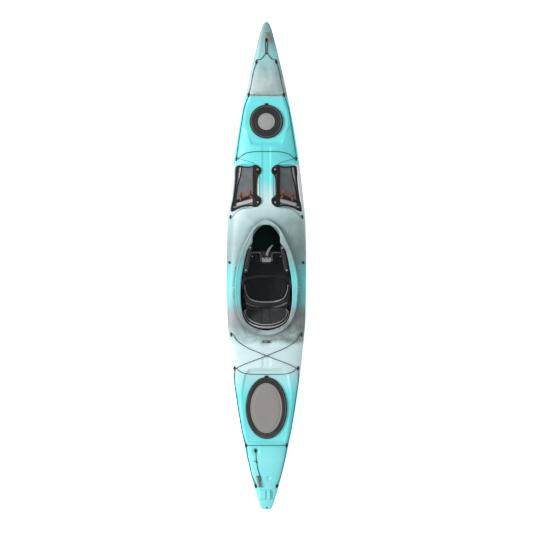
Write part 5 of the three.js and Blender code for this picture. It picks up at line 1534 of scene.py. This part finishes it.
rear_stretch = joint_piece("rear_stretch_cord", [tube(rear_stretch_run(1, 0.003), CORD, 8),
                                                 tube(rear_stretch_run(-1, 0.0), CORD, 8)], [bungee_cord])
for piece, node in ((front_line, "front_deck_line"), (rear_line, "rear_deck_line"),
                    (front_stretch, "front_bungee"), (rear_stretch, "rear_bungee")):
    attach(piece, "shell")
    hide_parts(node)

# ---------------------------------------------------------------------------------------------------
# The carry toggles: a grey plastic tube handle at each end on a cord from its padeye. The bow's cord is
# short. The stern's runs back along the deck, with a knot a third of the way along.
# ---------------------------------------------------------------------------------------------------


def handle(place):
    """A ribbed tube, waisted in the middle, with its bore open at both ends."""
    half = [(0.0, 0.0102), (0.020, 0.0106), (0.0355, 0.0110), (0.0365, 0.0098), (0.0395, 0.0098), (0.0405, 0.0112),
            (0.0440, 0.0112), (0.0456, 0.0105), (0.046, 0.0080)]
    stations = [(-y, r) for y, r in reversed(half[1:])] + half
    stations += [(y, 0.0045) for y in (0.046, 0, -0.046)]
    turn = turns(20)
    rings = [np.column_stack([r * np.cos(turn), np.full(20, y), r * np.sin(turn)]) for y, r in stations]
    bm = skin([*rings, rings[0]])
    bmesh.ops.transform(bm, matrix=place, verts=bm.verts)
    return bm


toggle_plastic = tough_plastic("toggle_plastic", ink(112, 106, 102), ink(146, 139, 134), ink(186, 182, 178), 0.32)
for end, beside, ahead, heading in (("bow", 0.015, 0.020, 33.7), ("stern", 0.0273, -0.240, 15.6)):
    x, y, _ = eye_places[f"{end}_toggle_eye"]
    spot = on_deck(x + beside, y + ahead, heading) @ Matrix.Translation((0, 0, 0.015))
    grip = joint_piece(f"{end}_carry_handle", [handle(spot)], [toggle_plastic])
    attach(grip, f"{end}_handle")
    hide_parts(f"{end}_toggle")


def cord_route(end, rows):
    x, y, _ = eye_places[f"{end}_toggle_eye"]
    return [above(x + beside / 1000, y + ahead / 1000, lift / 1000) for beside, ahead, lift in rows]


# Each cord's way from its eye, in millimetres: to the right, ahead, and over the deck.
bow_route = cord_route("bow", [(0, 4.3, 6.1), (0.4, 8, 6.9), (1.4, 11.3, 8.8), (2.7, 13.8, 11.4),
                               (4.2, 16.2, 14.1)])
bow_cord = joint_piece("bow_handle_cord", [tube(bow_route, CORD, 10, 18)], [line_cord])
stern_route = cord_route("stern", [(0.6, -4.3, 6.1), (1.5, -11, 6), (3.3, -37, 4), (8.3, -90, 4), (19.3, -147, 4),
                                   (31.3, -187, 5), (38, -212, 10), (39.2, -239, 15)])
stern_line = smooth_loop([tuple(p) for p in stern_route], 34, closed=False)
stern_cord = joint_piece("stern_handle_cord", [tube(stern_route, CORD, 10, 34)], [line_cord])
knot_at = Vector(stern_line[12])
coil = [tuple(knot_at + Vector((0.0056 * math.cos(t), 0.0035 * math.sin(t * 0.5) - 0.003 + t * 0.0009,
                                0.0012 + 0.0048 * math.sin(t)))) for t in np.linspace(0, 3.6 * math.pi, 40)]
knot_tail = [tuple(knot_at + Vector(p))
             for p in ((0.002, 0.002, 0.0040), (-0.010, 0.008, 0.0010), (-0.020, 0.012, -0.0012))]
knot = joint_piece("stern_cord_knot", [tube(coil, 0.0020, 8, 60), tube(knot_tail, 0.0021, 8, 14)], [line_cord])
for piece, body in ((bow_cord, "bow_handle"), (stern_cord, "stern_handle"), (knot, "stern_handle")):
    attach(piece, body)
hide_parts("bow_toggle_cord")
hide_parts("stern_toggle_cord")

# ---------------------------------------------------------------------------------------------------
# The deck pockets: a panel of coarse mesh stretched over a recess on each side of the foredeck, bound in
# black, with an outer strap, a pale webbing strip, grommets, and orange cord laced through cord locks.
# ---------------------------------------------------------------------------------------------------
mesh_fabric, tree, shader = finish("mesh_fabric", Roughness=0.85, Specular_IOR_Level=0.25)
where = object_place(tree)
holes = cells_of(tree, where, 380.0)
threads = blend_of(tree, ranged(tree, holes, 0.25, 0.5), ink(66, 68, 70), ink(128, 130, 132))
sway = noise_of(tree, where, 16.0, 3.0)
join(tree, shader, Base_Color=blend_of(tree, sway, threads, ink(84, 86, 88)))
bumped(tree, shader, [(holes, 0.0006)])
orange_cord = braided("orange_cord", ink(150, 62, 16), ink(226, 104, 34), ink(240, 140, 70))


def pocket_point(side, out, ahead, lift):
    """A point over a pocket's plane, or over the deck beyond its inner edge."""
    place = pocket_place(side)
    on_plane = place @ Vector((side * out, ahead, lift))
    if out >= 0.012:
        return on_plane
    x = side * (POCKET_INNER + out * 0.918)
    on_top = above(x, on_plane.y, lift)
    return on_top.lerp(on_plane, float(ease((out + 0.012) / 0.024)))


def pocket_line(side, rows, lift, count):
    return [tuple(pocket_point(side, out, ahead, lift)) for out, ahead in smooth_loop(rows, count, closed=False)]


# Lines on a pocket are given by how far each point lies outward and ahead of its inner back corner.
BINDING = [(0.186, 0.356), (0.150, 0.352), (0.085, 0.343), (0.036, 0.345), (0.006, 0.355), (-0.020, 0.340),
           (-0.031, 0.302), (-0.010, 0.272), (-0.001, 0.205), (-0.003, 0.118), (-0.016, 0.109), (-0.030, 0.085),
           (-0.022, 0.050), (0.006, 0.034), (0.040, 0.041), (0.086, 0.045), (0.154, 0.029), (0.212, 0.000)]
PANEL_ROWS, PANEL_STEPS, STITCHES = 25, 41, 18
for side_name, side in (("left", -1), ("right", 1)):
    inner = smooth_loop([(0.028, 0.345), (0.022, 0.300), (0.019, 0.205), (0.019, 0.118), (0.024, 0.042)],
                        PANEL_STEPS, closed=False)
    outer = smooth_loop([(0.124, 0.348), (0.135, 0.280), (0.156, 0.204), (0.172, 0.110), (0.186, 0.022)],
                        PANEL_STEPS, closed=False)
    rows = []
    for share in np.linspace(0, 1, PANEL_ROWS):
        line = inner + (outer - inner) * share
        sag = 0.0022 * math.sin(math.pi * share) * np.sin(np.linspace(0, math.pi, PANEL_STEPS))
        crease = 0.0006 * np.sin(np.linspace(0, 9, PANEL_STEPS) + share * 6)
        rows.append([tuple(pocket_point(side, out, ahead, 0.0022 - s + c))
                     for (out, ahead), s, c in zip(line, sag, crease)])
    panel = object_from(f"pocket_panel_{side_name}", skin(rows, closed=False))
    turned(panel, 1)
    thicken(panel, 0.0008)
    panel.data.materials.append(mesh_fabric)
    across = np.linalg.norm(outer - inner, axis=1)
    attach(panel, "shell")
    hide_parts(f"pocket_mesh_{side_name}")

    def ribbon(rows, width, lift, count=40, thick=0.14):
        return tube(pocket_line(side, rows, lift, count), width / 2, 10, count, flat=thick,
                    up=pocket_place(side).col[2][:3])

    # The binding, tapes along its outer side, the hem inside, a tape across its foot, and a short tail.
    bind = [ribbon(BINDING, 0.0125, 0.0028, 120, 0.36),
            ribbon([(0.158, 0.352), (0.168, 0.280), (0.181, 0.204), (0.193, 0.110), (0.205, 0.006)], 0.023, 0.0032),
            ribbon([(0.124, 0.350), (0.135, 0.280), (0.158, 0.204), (0.174, 0.110), (0.188, 0.020)], 0.012, 0.0034),
            ribbon([(0.013, 0.350), (0.014, 0.290), (0.012, 0.205), (0.012, 0.118), (0.014, 0.044)], 0.034, 0.0062),
            ribbon([(0.030, 0.116), (0.090, 0.100), (0.150, 0.083), (0.178, 0.076)], 0.025, 0.0040, 24),
            ribbon([(0.211, 0.004), (0.220, -0.014), (0.224, -0.030)], 0.010, 0.0030, 16, 0.3)]
    seam = tube(pocket_line(side, [(0.033, 0.342), (0.030, 0.290), (0.027, 0.205), (0.027, 0.118), (0.031, 0.045)],
                            0.0050, 40), 0.0010, 6, 40)
    # An ear with a grommet at each inner corner, and a grommet in the outer back corner.
    ears = []
    for out, ahead, shift in ((-0.012, 0.322, -0.010), (-0.013, 0.066, 0.010)):
        rim_of = [tuple(pocket_point(side, out + 0.0058 * math.cos(t), ahead + 0.0058 * math.sin(t), 0.0098))
                  for t in turns(16)]
        ears.append(hoop(rim_of, 0.0017, 8))
        middle = ahead + shift
        bind.append(ribbon([(out + 0.014, middle), (out, middle + 0.0005), (out - 0.015, middle)],
                           0.062, 0.0070, 12, 0.1))
    white_eye = pocket_point(side, 0.186, 0.034, 0.0052)
    ears.append(hoop([tuple(white_eye + Vector((0.0045 * math.cos(t), 0.0045 * math.sin(t), 0)))
                      for t in turns(14)], 0.0016, 8))
    binding = joint_piece(f"pocket_binding_{side_name}", [*bind, seam, *ears],
                          [dark_webbing] * len(bind) + [webbing] + [steel])
    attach(binding, "shell")
    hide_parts(f"pocket_edge_{side_name}")

    strip = ribbon([(0.160, 0.052), (0.090, 0.068), (0.014, 0.084)], 0.027, 0.0052, 30, 0.09)
    stitches = []
    for edge in (-0.0105, 0.0105):
        for k in range(STITCHES):
            share = (k + 0.5) / STITCHES
            out, ahead = 0.160 - 0.146 * share, 0.052 + 0.032 * share + edge
            stitches.append(tube([pocket_point(side, out, ahead, 0.0064),
                                  pocket_point(side, out - 0.0045, ahead + 0.001, 0.0064)], 0.0004, 4, 4))
    webbing_strip = joint_piece(f"pocket_webbing_{side_name}", [strip, *stitches], [webbing, piping_cord])
    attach(webbing_strip, "shell")
    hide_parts(f"pocket_strap_{side_name}")

    laces = [[(0.136, 0.146), (0.137, 0.118), (0.134, 0.084)], [(0.053, 0.160), (0.050, 0.128), (0.032, 0.100)],
             [(0.137, 0.118), (0.094, 0.124), (0.050, 0.128)], [(0.129, 0.143), (0.131, 0.118), (0.126, 0.090)],
             [(0.060, 0.156), (0.057, 0.128), (0.044, 0.104)]]
    cords = [tube(pocket_line(side, lace, 0.0070, 16), 0.0031, 8, 16) for lace in laces]
    thread_run = pocket_line(side, [(0.001, 0.300), (-0.002, 0.205), (-0.001, 0.125)], 0.0066, 30)
    cords.append(tube(thread_run, 0.0007, 6, 30))
    lacing = joint_piece(f"pocket_lacing_{side_name}", cords, [orange_cord])
    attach(lacing, "shell")
    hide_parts(f"pocket_bungee_{side_name}")

    locks = []
    for out, ahead in ((0.1335, 0.118), (0.0535, 0.128)):
        seat_of = pocket_place(side) @ Matrix.Translation((side * out, ahead, 0.0118))
        locks.append(rounded_block((0.015, 0.018, 0.0085), 0.0028, seat_of, 3))
        button_at = seat_of @ Matrix.Translation((0, 0.010, 0.001))
        locks.append(rounded_block((0.009, 0.006, 0.0040), 0.0015, button_at, 2))
    lock = joint_piece(f"pocket_cord_locks_{side_name}", locks, [black_plastic, grey_plastic] * 2)
    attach(lock, "shell")
    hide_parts(f"cord_lock_{side_name}")

    # Thin cords: along the inner edge from grommet to grommet, and from the corners to the padeyes.
    eye = beside_eye(f"deck_bungee_eye_{side_name}")
    back_eye = beside_eye(f"pocket_eye_{side_name}")
    ahead_run = [eye, above(eye.x * 0.86, eye.y - 0.006, LIFT), above(eye.x * 0.62, eye.y - 0.022, LIFT),
                 above(side * 0.098, 0.800, 0.005), pocket_point(side, -0.010, 0.326, 0.0062)]
    inner_run = [pocket_point(side, -0.014, 0.318, 0.0060), above(side * 0.054, 0.700, 0.0045),
                 above(side * 0.0535, 0.630, 0.004), above(side * 0.054, 0.545, 0.0045),
                 pocket_point(side, -0.015, 0.070, 0.0060)]
    back_run = [back_eye, above(back_eye.x * 0.83, 0.426, LIFT), above(back_eye.x * 0.62, 0.451, LIFT),
                pocket_point(side, -0.002, 0.050, 0.0062)]
    thin = joint_piece(f"pocket_thin_cords_{side_name}",
                       [tube(run, 0.0014, 8) for run in (ahead_run, inner_run, back_run)], [bungee_cord])
    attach(thin, "shell")

# ---------------------------------------------------------------------------------------------------
# Small fasteners: steel screws beside the coaming that hold the seat, and the drain plug in the tail.
# ---------------------------------------------------------------------------------------------------
screw_meshes = []
for side in (-1, 1):
    for out, y in ((0.244, -0.023), (0.254, -0.168), (0.254, -0.215)):
        # A dark cup under a bright head.
        for radius, lift in ((0.0092, 0.0008), (0.0058, 0.0034)):
            place = on_deck(side * out, y) @ Matrix.Translation((0, 0, lift))
            screw_meshes.append(screw_head(radius, place))
seat_screws = joint_piece("seat_screws", screw_meshes, [black_plastic, steel] * 6)
plug_place = on_deck(0.003, -1.888)
plug = joint_piece("drain_plug", [screw_head(0.0062, plug_place @ Matrix.Translation((0, 0, 0.0004)))],
                   [black_plastic])
for piece in (seat_screws, plug):
    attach(piece, "shell")
